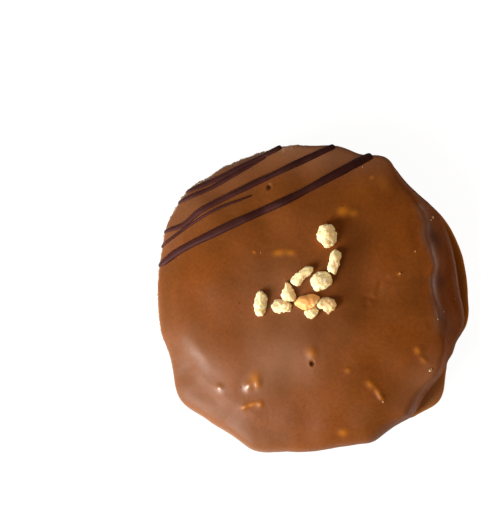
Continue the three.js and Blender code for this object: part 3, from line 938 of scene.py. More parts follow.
@dataclass(frozen=True)
class Drizzle:
    """The dark chocolate lines over one shoulder, in mm."""

    lines: tuple[Line, ...] = (
        Line(2.15, (1.2, 6), (
            (21.5, 37.1), (13.4, 32.7), (-0.2, 25.8), (-15.0, 19.9), (-33.0, 12.8), (-38.1, 10.0),
            (-41.2, 9.0),
        )),
        Line(1.75, (1.2, 16), (
            (13.0, 39.9), (8.4, 37.9), (-13.1, 29.0), (-20.7, 26.0), (-27.9, 22.5), (-32.7, 19.4),
            (-40.5, 17.6),
        )),
        Line(0.85, (9, 1), ((-12.5, 26.3), (-20.7, 23.7), (-28.5, 20.3), (-35.8, 16.1), (-41.0, 12.9))),
        Line(1.6, (1.2, 3), (
            (-2.0, 40.5), (-6.1, 38.5), (-15.5, 34.7), (-23.2, 31.4), (-31.2, 28.8), (-34.5, 27.7),
        )),
        Line(1.4, (14, 1), (
            (-9.4, 36.4), (-15.3, 33.6), (-22.6, 30.0), (-27.6, 27.9), (-33.5, 26.0), (-37.5, 24.6),
        )),
    )
    # A line's height over the chocolate is a share of its width, and no less than the least rise.
    rise: float = 0.32
    least_rise: float = 0.4
    boxiness: float = 0.9
    # How much of its size is left at an end, and then at the cap that closes it.
    tip_share: float = 0.45
    cap_share: float = 0.55
    blunt: float = 0.25
    # What its width, height and way vary by, as shares, over some mm along it.
    uneven_width: float = 0.2
    fine_width: float = 0.06
    uneven_height: float = 0.25
    sway: float = 0.1
    uneven_over: float = 12
    # The lines lie this far apart in that noise, which is read at other pitches for all but the width.
    noise_apart: float = 3.1
    fine_pitch: float = 3
    height_pitch: float = 1.7
    sway_pitch: float = 1.3
    sway_from: tuple[float, float, float] = (0, 0, 7)
    # A line stops at this height on its way down the side.
    lowest_end: float = 5.0
    # Its mesh, and how many neighbours each point and normal of its way is averaged with.
    sides: int = 20
    step: float = 0.4
    least_steps: int = 8
    plan_steps: int = 400
    evened_points: int = 2
    evened_normals: int = 5
    # The painted sheen on the lines, which makes them lighter towards -X, grows from the first of these to
    # the second, in mm towards -X.
    painted_sheen_from: Pair = (-8.0, 30.0)

    def route(self, line: Line, ground: Ground) -> tuple[Numbers, Numbers]:
        """The line's way over the coat.

        Args:
            line: the line.
            ground: the coat that it lies on.

        Returns:
            Evenly spaced points and normals, one row each.
        """
        plan = smooth_path(np.array(line.points), self.plan_steps)
        spots = [ground.under(x, y) for x, y in plan.tolist()]
        spots = [spot for spot in spots if spot and spot[0].z > self.lowest_end]
        points = np.array([point[:] for point, _ in spots])
        normals = np.array([normal[:] for _, normal in spots])
        steps = np.linalg.norm(np.diff(points, axis=0), axis=1)
        along = np.concatenate([[0], np.cumsum(steps)])
        even = np.linspace(0, along[-1], max(int(along[-1] / self.step), self.least_steps))
        points = np.stack([np.interp(even, along, points[:, k]) for k in range(3)], axis=1)
        normals = np.stack([np.interp(even, along, normals[:, k]) for k in range(3)], axis=1)
        return evened(points, self.evened_points), evened(normals, self.evened_normals)

    def cord(self, line: Line, number: int, ground: Ground, bm: Bm) -> None:
        """Adds one line: a straight tube, bent to its route with an uneven width.

        Args:
            line: the line.
            number: its place in the list, which picks its unevenness.
            ground: the coat that it lies on.
            bm: the shape that it is added to.
        """
        points, normals = self.route(line, ground)
        steps = len(points) - 1
        verts = bmesh.ops.create_grid(bm, x_segments=self.sides, y_segments=steps, size=0.5)["verts"]
        for vert in verts:
            turn = 2 * math.pi * (vert.co.x + 0.5)
            vert.co = (math.cos(turn), math.sin(turn), round((vert.co.y + 0.5) * steps))
        seam = [vert for vert in verts if vert.is_boundary]
        bmesh.ops.remove_doubles(bm, verts=seam, dist=MERGE)
        bmesh.ops.holes_fill(bm, edges=[edge for edge in bm.edges if edge.is_boundary])
        verts = [vert for vert in bm.verts if not vert.tag]
        length = steps * self.step
        ahead = np.gradient(points, axis=0)
        ahead /= np.linalg.norm(ahead, axis=1)[:, None]
        above = normals - ahead * (normals * ahead).sum(axis=1)[:, None]
        above /= np.linalg.norm(above, axis=1)[:, None]
        aside = np.cross(above, ahead)
        for vert in verts:
            i = round(vert.co.z)
            along = i * self.step
            start, end = along + self.blunt, length - along + self.blunt
            to_end = min(start / line.tips[0], end / line.tips[1], 1)
            size = self.tip_share + (1 - self.tip_share) * math.sin(to_end * math.pi / 2)
            if i in (0, steps):
                size *= self.cap_share
            spot = Vector((along / self.uneven_over, number * self.noise_apart, 0))
            uneven = self.uneven_width * noise.noise(spot)
            uneven += self.fine_width * noise.noise(spot * self.fine_pitch)
            wide = size * line.width / 2 * (1 + uneven)
            tall = size * max(self.rise * line.width, self.least_rise)
            tall *= 1 + self.uneven_height * noise.noise(spot * self.height_pitch)
            sway = self.sway * line.width * noise.noise(spot * self.sway_pitch + Vector(self.sway_from))
            flat = math.copysign(abs(vert.co.x) ** self.boxiness, vert.co.x)
            vert.co = Vector(points[i] + aside[i] * (wide * flat + sway) + above[i] * tall * vert.co.y)
            vert.tag = True

    def build(self, ground: Ground) -> bpy.types.Object:
        """All the lines as one finished piece.

        Args:
            ground: the coat that they lie on.

        Returns:
            The drizzle.
        """
        bm = bmesh.new()
        for number, line in enumerate(self.lines):
            self.cord(line, number, ground, bm)
        bmesh.ops.recalc_face_normals(bm, faces=bm.faces)
        # Painted sheen: the lines grow lighter towards -X.
        paint(bm, Mark.PAINTED_SHEEN, smoothstep(-coordinates(bm)[:, 0], *self.painted_sheen_from))
        return finish(bm, "drizzle", Slot.DARK, DarkChocolate().material())


def smooth_path(points: Numbers, count: int, closed: bool = False) -> Numbers:
    """Evenly spread places on a Catmull-Rom curve through some points.

    Args:
        points: one row a point.
        count: how many places are wanted.
        closed: whether the last point joins the first.

    Returns:
        One row a place.
    """
    last = len(points) - (0 if closed else 1)
    share = np.linspace(0, last, count, endpoint=not closed)
    i = np.minimum(share.astype(int), last - 1)
    w = (share - i)[:, None]
    if closed:
        p0, p1, p2, p3 = (points[(i + k) % last] for k in (-1, 0, 1, 2))
    else:
        p0, p1, p2, p3 = (points[np.clip(i + k, 0, last)] for k in (-1, 0, 1, 2))
    v1, v2 = (p2 - p0) / 2, (p3 - p1) / 2
    return (2 * p1 - 2 * p2 + v1 + v2) * w**3 + (3 * p2 - 3 * p1 - 2 * v1 - v2) * w**2 + v1 * w + p1


def evened(rows: Numbers, reach: int) -> Numbers:
    """Each row averaged with its neighbours up to reach away, with both ends kept.

    Args:
        rows: one row a place.
        reach: how many neighbours count on each side.

    Returns:
        As many rows.
    """
    padded = np.concatenate([np.repeat(rows[:1], reach, 0), rows, np.repeat(rows[-1:], reach, 0)])
    width = 2 * reach + 1
    return np.stack([np.convolve(padded[:, k], np.ones(width) / width, "valid") for k in range(3)], axis=1)


@dataclass(frozen=True)
class Facet:
    """A flat side of an almond piece: it faces an azimuth and elevation, at a distance in mm."""

    azimuth: float
    elevation: float
    out: float


@dataclass(frozen=True)
class Almond:
    """A piece of chopped almond: its outline is seen from above, in mm from its place (x, y)."""

    x: float
    y: float
    tall: float
    outline: tuple[Pair, ...]
    facets: tuple[Facet, ...] = ()
    toast: float = 0.1
    sunk: float = 0.3
    outline_steps: int = 180

    def radius(self, angles: Numbers) -> Numbers:
        """How far the outline is from its place at each angle, in radians.

        Args:
            angles: the angles seen from above.

        Returns:
            One radius an angle, in mm.
        """
        path = smooth_path(np.array(self.outline), self.outline_steps, closed=True)
        around = np.arctan2(path[:, 1], path[:, 0])
        order = np.argsort(around)
        return np.interp(angles, around[order], np.hypot(*path[order].T), period=2 * math.pi)

    def reach(self, x: Numbers, y: Numbers) -> Numbers:
        """How far out each place is, as a share of the outline there."""
        dx, dy = x - self.x, y - self.y
        return np.hypot(dx, dy) / self.radius(np.arctan2(dy, dx))


# The pieces, roughly from +Y to -Y. The last value of each is how toasted it is.
ALMONDS = (
    Almond(7.7, 15.0, 4.0, (
        (-2.7, 0.8), (-1.7, 2.4), (0.4, 3.0), (2.1, 2.0), (2.8, -0.1), (2.2, -2.4), (1.1, -3.2),
        (-0.3, -3.2), (-1.3, -2.0), (-2.5, -1.1),
    ), (Facet(180, 50, 1.5), Facet(-15, 40, 1.7)), 0.15),
    Almond(9.65, 8.2, 3.0, (
        (-0.6, 3.0), (0.6, 3.4), (1.7, 2.5), (1.7, 1.0), (1.4, -0.7), (0.8, -2.1), (0.2, -3.3), (-0.6, -3.0),
        (-1.9, -1.8), (-1.8, -0.6), (-1.3, 1.0),
    ), (Facet(-20, 60, 1.3), Facet(165, 45, 1.5)), 0.05),
    Almond(1.15, 4.9, 3.0, (
        (-2.7, -0.7), (-1.3, 0.9), (1.3, 2.5), (3.2, 2.3), (2.9, 0.8), (0.6, -1.2), (-0.6, -2.8),
        (-2.4, -1.9),
    ), (Facet(130, 55, 1.2), Facet(-50, 50, 1.1)), 0.1),
    Almond(6.05, 3.7, 3.2, (
        (-3.0, 0.1), (-1.7, 1.6), (-0.1, 2.5), (1.7, 2.4), (2.6, 1.3), (3.0, -0.2), (2.0, -1.7), (-1.0, -2.8),
        (-2.4, -1.7),
    ), (Facet(200, 45, 1.6), Facet(80, 60, 1.3)), 0.05),
    Almond(-2.35, 0.6, 3.2, (
        (-0.6, 3.2), (1.3, 1.4), (2.3, -1.1), (1.4, -2.2), (-1.4, -1.8), (-2.3, -0.5), (-2.1, 0.6),
        (-1.1, 1.8),
    ), (Facet(170, 45, 1.1), Facet(20, 45, 1.1)), 0.1),
    Almond(-9.75, -1.8, 2.9, (
        (-1.0, 2.9), (0.2, 3.3), (1.7, 2.0), (1.7, -0.1), (0.8, -3.2), (-1.2, -3.0), (-1.9, -1.2),
        (-1.5, 1.2),
    ), (Facet(170, 60, 1.2), Facet(-10, 50, 1.2)), 0.05),
    Almond(-4.2, -2.6, 2.8, (
        (-2.6, 0.2), (-1.5, 1.9), (0.1, 1.7), (1.8, 1.3), (2.7, 0.3), (2.4, -1.1), (1.0, -1.8), (-1.7, -1.6),
    ), (Facet(100, 60, 1.2), Facet(-90, 50, 1.2)), 0.1),
    Almond(2.9, -1.7, 3.2, (
        (-3.9, -0.2), (-2.5, 1.0), (-1.1, 1.8), (1.1, 2.3), (3.1, 1.3), (2.8, -0.5), (1.8, -1.8),
        (-1.1, -2.1), (-3.1, -1.3),
    ), (Facet(70, 50, 1.3), Facet(-110, 50, 1.3)), 0.85),
    Almond(3.7, -4.5, 2.6, (
        (-1.7, 0.3), (-0.6, 1.2), (1.0, 1.5), (1.8, 0.3), (1.2, -0.8), (0.2, -1.6), (-1.2, -0.9),
    ), (Facet(-60, 50, 1.0),), 0.2),
    Almond(7.75, -2.5, 3.0, (
        (-2.6, 0.2), (-1.8, 1.7), (-0.1, 2.1), (1.5, 1.4), (2.6, -0.3), (1.2, -1.7), (0.2, -2.4),
        (-0.8, -1.3), (-2.2, -0.8),
    ), (Facet(100, 55, 1.2), Facet(-60, 50, 1.2)), 0.35),
)


@dataclass(frozen=True)
class ChoppedAlmonds:
    """The ten pieces of almond in the middle of the top."""

    pieces: tuple[Almond, ...] = ALMONDS
    subdivisions: int = 5
    # A piece's plan is slimmer than its outline by what its knobs add. Its sides bulge by these powers.
    slim: float = 0.94
    plan_power: float = 0.75
    height_power: float = 0.85
    # How soft the edge of a flat side is, in mm, and how much of what stands over it is cut off.
    soft: float = 0.4
    cut: float = 0.7
    # Knobs all over, and crumbs that are coarser round the rim than on the flat of the top.
    knobs: Waves = Waves(2.0, 0.3)
    crumbs: Waves = Waves(0.8, 0.32)
    least_crumbs: float = 0.4
    # How far a piece is pressed in on top of its sunk share, in mm.
    pressed: float = 0.3

    def pebble(self, almond: Almond, seed: int, ground: Ground, bm: Bm) -> None:
        """Adds one piece: a ball drawn out to its outline, with its flat sides, pores and knobs.

        Args:
            almond: the piece.
            seed: what picks its knobs.
            ground: the coat that it is set in.
            bm: the shape that it is added to.
        """
        verts = bmesh.ops.create_icosphere(bm, subdivisions=self.subdivisions, radius=1)["verts"]
        ball = np.array([vert.co[:] for vert in verts])
        level = np.hypot(ball[:, 0], ball[:, 1])
        around = np.arctan2(ball[:, 1], ball[:, 0])
        wide = self.slim * almond.radius(around) * level**self.plan_power
        tall = almond.tall / 2 * np.sign(ball[:, 2]) * np.abs(ball[:, 2]) ** self.height_power
        points = np.stack([wide * np.cos(around), wide * np.sin(around), tall], axis=1)
        for facet in almond.facets:
            facing = np.array(towards(facet.azimuth, facet.elevation))
            over = np.logaddexp(0, (points @ facing - facet.out) / self.soft) * self.soft
            points -= self.cut * over[:, None] * facing
        rim = self.least_crumbs + (1 - self.least_crumbs) * level**3
        rough = self.knobs.at(points, seed) + rim * self.crumbs.at(points, seed)
        points += ball * rough[:, None]
        middle = ground.under(almond.x, almond.y)[0].z - self.pressed + almond.tall * (0.5 - almond.sunk)
        points += np.array([almond.x, almond.y, middle])
        toast = bm.verts.layers.float[Mark.TONE.value]
        for vert, point in zip(verts, points.tolist()):
            vert.co = point
            vert[toast] = almond.toast

    def build(self, ground: Ground) -> bpy.types.Object:
        """All the pieces as one finished piece of the scene.

        Args:
            ground: the coat that they are set in.

        Returns:
            The chopped almonds.
        """
        bm = bmesh.new()
        bm.verts.layers.float.new(Mark.TONE.value)
        for seed, almond in enumerate(self.pieces):
            self.pebble(almond, seed, ground, bm)
        return finish(bm, "chopped_almonds", Slot.ALMOND, AlmondFlesh().material())


@dataclass(frozen=True)
class Crumbs:
    """Pale crumbs along the torn edge, and a few flecks on the coat."""

    count: int = 620
    seed: int = 12
    # They lie between the first two of these angles, and most of them near the third.
    angles: tuple[float, float, float] = (86, 202, 135)
    # How far over the torn edge's height they lie, and how large they are, in mm.
    heights: Pair = (-0.15, 0.25)
    sizes: Pair = (0.15, 0.4)
    uneven: Pair = (0.7, 1.3)
    cream: Colour = (0.52, 0.33, 0.21)
    tan: Colour = (0.36, 0.19, 0.10)
    # Each fleck is at (x, y) with a size, in mm.
    flecks: tuple[tuple[float, float, float], ...] = (
        (33.4, 19.3, 0.9), (33.2, 18.6, 0.6), (33.0, -18.9, 0.75), (33.3, -18.6, 0.5), (16.4, 32.4, 0.3),
        (35.2, -6.3, 0.35), (36.4, -4.4, 0.4), (26.0, 5.2, 0.5), (29.8, 10.6, 0.3), (-9.8, 11.2, 0.3),
        (21.3, -26.6, 0.5), (38.4, -1.0, 0.35),
    )

    def crumb(self, at: Vector, size: float, rng: random.Random, bm: Bm) -> None:
        """Adds one small uneven lump.

        Args:
            at: its place, in mm.
            size: how large it is.
            rng: what draws its unevenness.
            bm: the shape that it is added to.
        """
        verts = bmesh.ops.create_icosphere(bm, subdivisions=1, radius=size / 2)["verts"]
        for vert in verts:
            vert.co *= rng.uniform(*self.uneven)
        bmesh.ops.translate(bm, vec=at, verts=verts)

    def build(self, form: CoatForm, ground: Ground) -> bpy.types.Object:
        """All the crumbs as one finished piece.

        Args:
            form: the coat's form, for its torn edge.
            ground: the coat that they lie on.

        Returns:
            The crumbs.
        """
        rng = random.Random(self.seed)
        bm = bmesh.new()
        for _ in range(self.count):
            degrees = rng.triangular(*self.angles)
            height = form.torn_height(degrees) + rng.uniform(*self.heights)
            self.crumb(ground.beside(degrees, height), rng.uniform(*self.sizes), rng, bm)
        for x, y, size in self.flecks:
            self.crumb(ground.under(x, y)[0], size, rng, bm)
        return finish(bm, "crumbs", Slot.ALMOND, AlmondFlesh(cream=self.cream, tan=self.tan).material())


# ---- Materials ----------------------------------------------------------------------------------------


class Tree:
    """A node tree under construction."""

    def __init__(self, tree: bpy.types.NodeTree) -> None:
        """Starts with an empty tree."""
        self.tree = tree
        tree.nodes.clear()

    def add(self, kind: str, values: Inputs | None = None, **settings: object) -> bpy.types.Node:
        """Adds a node.

        Args:
            kind: the node's type.
            values: for each input, by name or number, a constant or the output that feeds it.
            settings: the node's own properties.

        Returns:
            The node.
        """
        node = self.tree.nodes.new(kind)
        for name, setting in settings.items():
            setattr(node, name, setting)
        for name, value in (values or {}).items():
            self.feed(node.inputs[name], value)
        return node

    def feed(self, socket: bpy.types.NodeSocket, value: object) -> None:
        """Links an output to a socket, or sets the socket's constant.

        Args:
            socket: the input.
            value: the output that feeds it, or its constant.
        """
        if isinstance(value, bpy.types.NodeSocket):
            self.tree.links.new(value, socket)
        elif isinstance(value, tuple) and len(value) == 3 and socket.type == "RGBA":
            socket.default_value = (*value, 1)
        else:
            socket.default_value = value

    def attribute(self, mark: Mark) -> bpy.types.NodeSocket:
        """What was painted on the vertices."""
        return self.add("ShaderNodeAttribute", attribute_name=mark.value).outputs["Fac"]

    def maths(self, operation: str, *values: object) -> bpy.types.NodeSocket:
        """What a sum of two or three values comes to.

        Args:
            operation: what is worked out.
            values: constants, or the outputs that feed it.

        Returns:
            The result.
        """
        node = self.add("ShaderNodeMath", operation=operation)
        for socket, value in zip(node.inputs, values):
            self.feed(socket, value)
        return node.outputs["Value"]

    def ranged(
        self, value: object, low: object, high: object, to: Pair = (0.0, 1.0)
    ) -> bpy.types.NodeSocket:
        """A value mapped smoothly from low and high to a range, and held inside it.

        Args:
            value: what is mapped.
            low: the value that gives the start of the range.
            high: the value that gives its end.
            to: the range.

        Returns:
            The result.
        """
        node = self.add(
            "ShaderNodeMapRange",
            {"Value": value, "From Min": low, "From Max": high, "To Min": to[0], "To Max": to[1]},
            interpolation_type="SMOOTHSTEP",
        )
        return node.outputs["Result"]

    def mixed(self, share: object, first: object, second: object) -> bpy.types.NodeSocket:
        """A mix of two colours.

        Args:
            share: how much of the second it is.
            first: a colour.
            second: a colour.

        Returns:
            The mix.
        """
        node = self.add("ShaderNodeMix", {0: share, 6: first, 7: second}, data_type="RGBA")
        return node.outputs[2]


@dataclass(frozen=True)
class Mottle:
    """Soft patches: their scale, in waves to a metre, and where their noise turns from none to full."""

    scale: float
    low: float
    high: float


@dataclass(frozen=True)
class Grain:
    """Fine grain: its scale, in waves to a metre, its detail, and the strength and depth of its bumps."""

    scale: float
    detail: float
    strength: float
    depth: float


def new_group(name: str, given: tuple[str, ...], put_out: str) -> tuple[Tree, bpy.types.NodeOutputs]:
    """A shader node group with a vector, some numbers and one number out, which starts empty.

    Args:
        name: the group's name.
        given: the names of its numbers.
        put_out: the name of its result.

    Returns:
        Its tree and the outputs that give what it is given.
    """
    group = bpy.data.node_groups.new(name, "ShaderNodeTree")
    group.interface.new_socket("Vector", in_out="INPUT", socket_type="NodeSocketVector")
    for number in given:
        group.interface.new_socket(number, in_out="INPUT", socket_type="NodeSocketFloat")
    group.interface.new_socket(put_out, in_out="OUTPUT", socket_type="NodeSocketFloat")
    tree = Tree(group)
    return tree, tree.add("NodeGroupInput").outputs


def mottle_group() -> bpy.types.NodeTree:
    """The shader node group that gives soft patches, made once.

    Returns:
        The group, with inputs Vector, Scale, Low and High, and the output Mask from 0 to 1.
    """
    known = bpy.data.node_groups.get("soft_mottle")
    if known:
        return known
    tree, given = new_group("soft_mottle", ("Scale", "Low", "High"), "Mask")
    patches = tree.add(
        "ShaderNodeTexNoise",
        {"Vector": given["Vector"], "Scale": given["Scale"], "Detail": 3.0, "Roughness": 0.55},
    )
    mask = tree.ranged(patches.outputs["Fac"], given["Low"], given["High"])
    tree.add("NodeGroupOutput", {"Mask": mask})
    return tree.tree


def grain_group() -> bpy.types.NodeTree:
    """The shader node group that gives fine grain, made once.

    Returns:
        The group, with inputs Vector, Scale and Detail, and the output Height.
    """
    known = bpy.data.node_groups.get("fine_grain")
    if known:
        return known
    tree, given = new_group("fine_grain", ("Scale", "Detail"), "Height")
    fine = tree.add(
        "ShaderNodeTexNoise",
        {"Vector": given["Vector"], "Scale": given["Scale"], "Detail": given["Detail"]},
    )
    tree.add("NodeGroupOutput", {"Height": fine.outputs["Fac"]})
    return tree.tree


def mottled(tree: Tree, where: object, patches: Mottle) -> bpy.types.NodeSocket:
    """The mask of some soft patches, placed in a material.

    Args:
        tree: the material's tree.
        where: the coordinates.
        patches: the patches.

    Returns:
        The mask, from 0 to 1.
    """
    values = {"Vector": where, "Scale": patches.scale, "Low": patches.low, "High": patches.high}
    return tree.add("ShaderNodeGroup", values, node_tree=mottle_group()).outputs["Mask"]


def grained(tree: Tree, where: object, grain: Grain) -> bpy.types.NodeSocket:
    """The normal of a surface with fine grain, placed in a material.

    Args:
        tree: the material's tree.
        where: the coordinates.
        grain: the grain.

    Returns:
        The normal.
    """
    values = {"Vector": where, "Scale": grain.scale, "Detail": grain.detail}
    height = tree.add("ShaderNodeGroup", values, node_tree=grain_group()).outputs["Height"]
    bump = {"Height": height, "Strength": grain.strength, "Distance": grain.depth}
    return tree.add("ShaderNodeBump", bump).outputs["Normal"]


def new_material(name: str) -> tuple[bpy.types.Material, Tree, bpy.types.NodeSocket]:
    """An empty material.

    Args:
        name: the material's name.

    Returns:
        The material, its tree and its Object coordinates.
    """
    material = bpy.data.materials.new(name)
    material.use_nodes = True
    tree = Tree(material.node_tree)
    return material, tree, tree.add("ShaderNodeTexCoord").outputs["Object"]


@dataclass(frozen=True)
class MilkChocolate:
    """Semi-gloss milk chocolate, clouded, thin over nuts and chalky on its torn edge, with painted sheen and
    painted shade.
    """

    light: Colour = (0.190, 0.0475, 0.0042)
    dark: Colour = (0.150, 0.0425, 0.0060)
    # The darkest colour, for the dark specks and the painted shade.
    deep: Colour = (0.05, 0.011, 0.002)
    honey: Colour = (0.46, 0.15, 0.014)
    chalk: Colour = (0.44, 0.27, 0.17)
    # The pale colour of the painted sheen.
    bloom_and_sheen: Colour = (0.34, 0.19, 0.12)
    # Its roughness, all over and where it is thin, how strongly it reflects, and the glaze of glossy places.
    roughness: float = 0.46
    glint: float = 0.24
    gloss: float = 0.11
    glaze: float = 1.0
    glaze_roughness: float = 0.38
    glaze_ior: float = 1.8

    # Clouds of light and dark, which the painted tone moves with its painted shade and light, and fine clouds
    # that change the brightness.
    clouds: Mottle = Mottle(90.0, 0.32, 0.68)
    cloud_share: float = 0.7
    cloud_start: float = 0.15
    tone_share: float = 0.5
    fine: Mottle = Mottle(1300.0, 0.3, 0.7)
    fine_range: Pair = (0.92, 1.07)
    # How much of each painted mark shows in the colour: the painted sheen, the thin coat, the foot with its
    # painted light, and the dark specks with the painted shade.
    painted_sheen_share: float = 0.8
    thin_share: float = 0.85
    foot_share: float = 0.8
    speck_and_shade_share: float = 0.85
    # Where the torn edge is chalky, small dark specks, and patches of more and less sheen.
    chips: Mottle = Mottle(1100.0, 0.36, 0.5)
    specks: Mottle = Mottle(420.0, 0.715, 0.77)
    speck_share: float = 0.7
    sheen: Mottle = Mottle(90.0, 0.25, 0.75)
    sheen_range: Pair = (0.92, 1.1)
    grain: Grain = Grain(900.0, 2.0, 0.12, 0.0002)

    def colour(self, tree: Tree, where: object) -> bpy.types.NodeSocket:
        """The colour's nodes: clouds, then each painted mark over them in turn.

        Args:
            tree: the material's tree.
            where: the coordinates.

        Returns:
            The colour.
        """
        clouds = mottled(tree, where, self.clouds)
        share = tree.maths("MULTIPLY_ADD", clouds, self.cloud_share, self.cloud_start)
        share = tree.maths("MULTIPLY_ADD", tree.attribute(Mark.TONE), self.tone_share, share)
        colour = tree.mixed(share, self.dark, self.light)
        fine = tree.ranged(mottled(tree, where, self.fine), 0.0, 1.0, self.fine_range)
        scaled = tree.add("ShaderNodeVectorMath", {0: colour, 1: fine}, operation="MULTIPLY")
        colour = scaled.outputs["Vector"]
        # Over the clouds: the painted sheen, the thin coat's honey, and the foot's honey, which is partly
        # painted light.
        for mark, amount, over in (
            (Mark.PAINTED_SHEEN, self.painted_sheen_share, self.bloom_and_sheen),
            (Mark.THIN, self.thin_share, self.honey),
            (Mark.FOOT_AND_PAINTED_LIGHT, self.foot_share, self.honey),
        ):
            colour = tree.mixed(tree.maths("MULTIPLY", tree.attribute(mark), amount), colour, over)
        chalk = tree.maths("MULTIPLY", tree.attribute(Mark.CHALK), mottled(tree, where, self.chips))
        colour = tree.mixed(chalk, colour, self.chalk)
        # Dark specks, and the painted shade wherever it is darker.
        specks = tree.maths("MULTIPLY", mottled(tree, where, self.specks), self.speck_share)
        specks = tree.maths("MAXIMUM", specks, tree.attribute(Mark.DARK_AND_SHADE))
        return tree.mixed(tree.maths("MULTIPLY", specks, self.speck_and_shade_share), colour, self.deep)

    def material(self) -> bpy.types.Material:
        """The material, with more sheen where the chocolate is thin and a glaze where it is glossy.

        Returns:
            The material.
        """
        material, tree, where = new_material("milk_chocolate")
        roughness = tree.ranged(mottled(tree, where, self.sheen), 0.0, 1.0, self.sheen_range)
        roughness = tree.maths("MULTIPLY", roughness, self.roughness)
        thin = tree.attribute(Mark.THIN)
        roughness = tree.maths("MULTIPLY_ADD", thin, self.glint - self.roughness, roughness)
        shader = tree.add(
            "ShaderNodeBsdfPrincipled",
            {
                "Base Color": self.colour(tree, where),
                "Roughness": roughness,
                "Specular IOR Level": self.gloss,
                "Coat Weight": tree.maths("MULTIPLY", tree.attribute(Mark.GLOSS), self.glaze),
                "Coat Roughness": self.glaze_roughness,
                "Coat IOR": self.glaze_ior,
                "Normal": grained(tree, where, self.grain),
            },
        )
        tree.add("ShaderNodeOutputMaterial", {"Surface": shader.outputs["BSDF"]})
        return material


@dataclass(frozen=True)
class DarkChocolate:
    """Glossier dark chocolate with faint pale clouds and a painted sheen."""

    base: Colour = (0.017, 0.0040, 0.0026)
    # The pale colour of the clouds and of the painted sheen.
    bloom_and_sheen: Colour = (0.060, 0.0170, 0.0140)
    sheen: Colour = (1.0, 0.66, 0.72)
    roughness: float = 0.5
    gloss: float = 0.12
    # The pale colour lies in clouds, and more of it where the painted sheen is painted, towards -X.
    clouds: Mottle = Mottle(160.0, 0.35, 0.7)
    cloud_share: float = 0.4
    painted_sheen_share: float = 0.6
    rubs: Mottle = Mottle(300.0, 0.3, 0.7)
    rub_range: Pair = (0.9, 1.2)
    grain: Grain = Grain(700.0, 2.0, 0.2, 0.0002)

    def material(self) -> bpy.types.Material:
        """The material, with pale clouds, painted sheen and patches that are rubbed.

        Returns:
            The material.
        """
        material, tree, where = new_material("dark_chocolate")
        # Pale clouds, and more of the pale colour where the painted sheen is painted.
        clouds = tree.maths("MULTIPLY", mottled(tree, where, self.clouds), self.cloud_share)
        share = tree.maths("MULTIPLY_ADD", tree.attribute(Mark.PAINTED_SHEEN), self.painted_sheen_share, clouds)
        rubbed = tree.ranged(mottled(tree, where, self.rubs), 0.0, 1.0, self.rub_range)
        shader = tree.add(
            "ShaderNodeBsdfPrincipled",
            {
                "Base Color": tree.mixed(share, self.base, self.bloom_and_sheen),
                "Roughness": tree.maths("MULTIPLY", rubbed, self.roughness),
                "Specular IOR Level": self.gloss,
                "Specular Tint": self.sheen,
                "Normal": grained(tree, where, self.grain),
            },
        )
        tree.add("ShaderNodeOutputMaterial", {"Surface": shader.outputs["BSDF"]})
        return material


@dataclass(frozen=True)
class AlmondFlesh:
    """Rough cream almond with tan and toasted patches."""

    cream: Colour = (0.99, 0.81, 0.48)
    tan: Colour = (0.86, 0.60, 0.26)
    toasted: Colour = (0.88, 0.38, 0.07)
    roughness: float = 0.62
    glow: float = 0.5
    glow_depth: float = 0.0012
    glow_reach: Colour = (1.0, 0.6, 0.3)
    tan_patches: Mottle = Mottle(420.0, 0.56, 0.85)
    toast_patches: Mottle = Mottle(400.0, 0.3, 0.55)
    grain: Grain = Grain(1500.0, 3.0, 0.15, 0.0003)

    def material(self) -> bpy.types.Material:
        """The material, with light that goes a little way into it.

        Returns:
            The material.
        """
        material, tree, where = new_material("chopped_almond")
        colour = tree.mixed(mottled(tree, where, self.tan_patches), self.cream, self.tan)
        toast = tree.maths("MULTIPLY", tree.attribute(Mark.TONE), mottled(tree, where, self.toast_patches))
        shader = tree.add(
            "ShaderNodeBsdfPrincipled",
            {
                "Base Color": tree.mixed(toast, colour, self.toasted),
                "Roughness": self.roughness,
                "Subsurface Weight": self.glow,
                "Subsurface Radius": self.glow_reach,
                "Subsurface Scale": self.glow_depth,
                "Normal": grained(tree, where, self.grain),
            },
        )
        tree.add("ShaderNodeOutputMaterial", {"Surface": shader.outputs["BSDF"]})
        return material


# ---- Camera, light and floor --------------------------------------------------------------------------


@dataclass(frozen=True)
class Lamp:
    """A soft square light that faces the biscuit."""

    name: str
    azimuth: float
    elevation: float
    distance: float
    size: float
    watts: float
    colour: Colour = (1.0, 1.0, 1.0)
    mirrored: bool = True

    def build(self) -> None:
        """Adds the light, which shows in glossy surfaces only if it is mirrored."""
        light = bpy.data.lights.new(self.name, "AREA")
        light.size = self.size
        light.energy = self.watts
        light.color = self.colour
        lamp = bpy.data.objects.new(self.name, light)
        direction = towards(self.azimuth, self.elevation)
        turn = direction.to_track_quat("Z", "Y").to_matrix().to_4x4()
        lamp.matrix_world = Matrix.Translation(direction * self.distance) @ turn
        lamp.visible_glossy = self.mirrored
        bpy.context.scene.collection.objects.link(lamp)


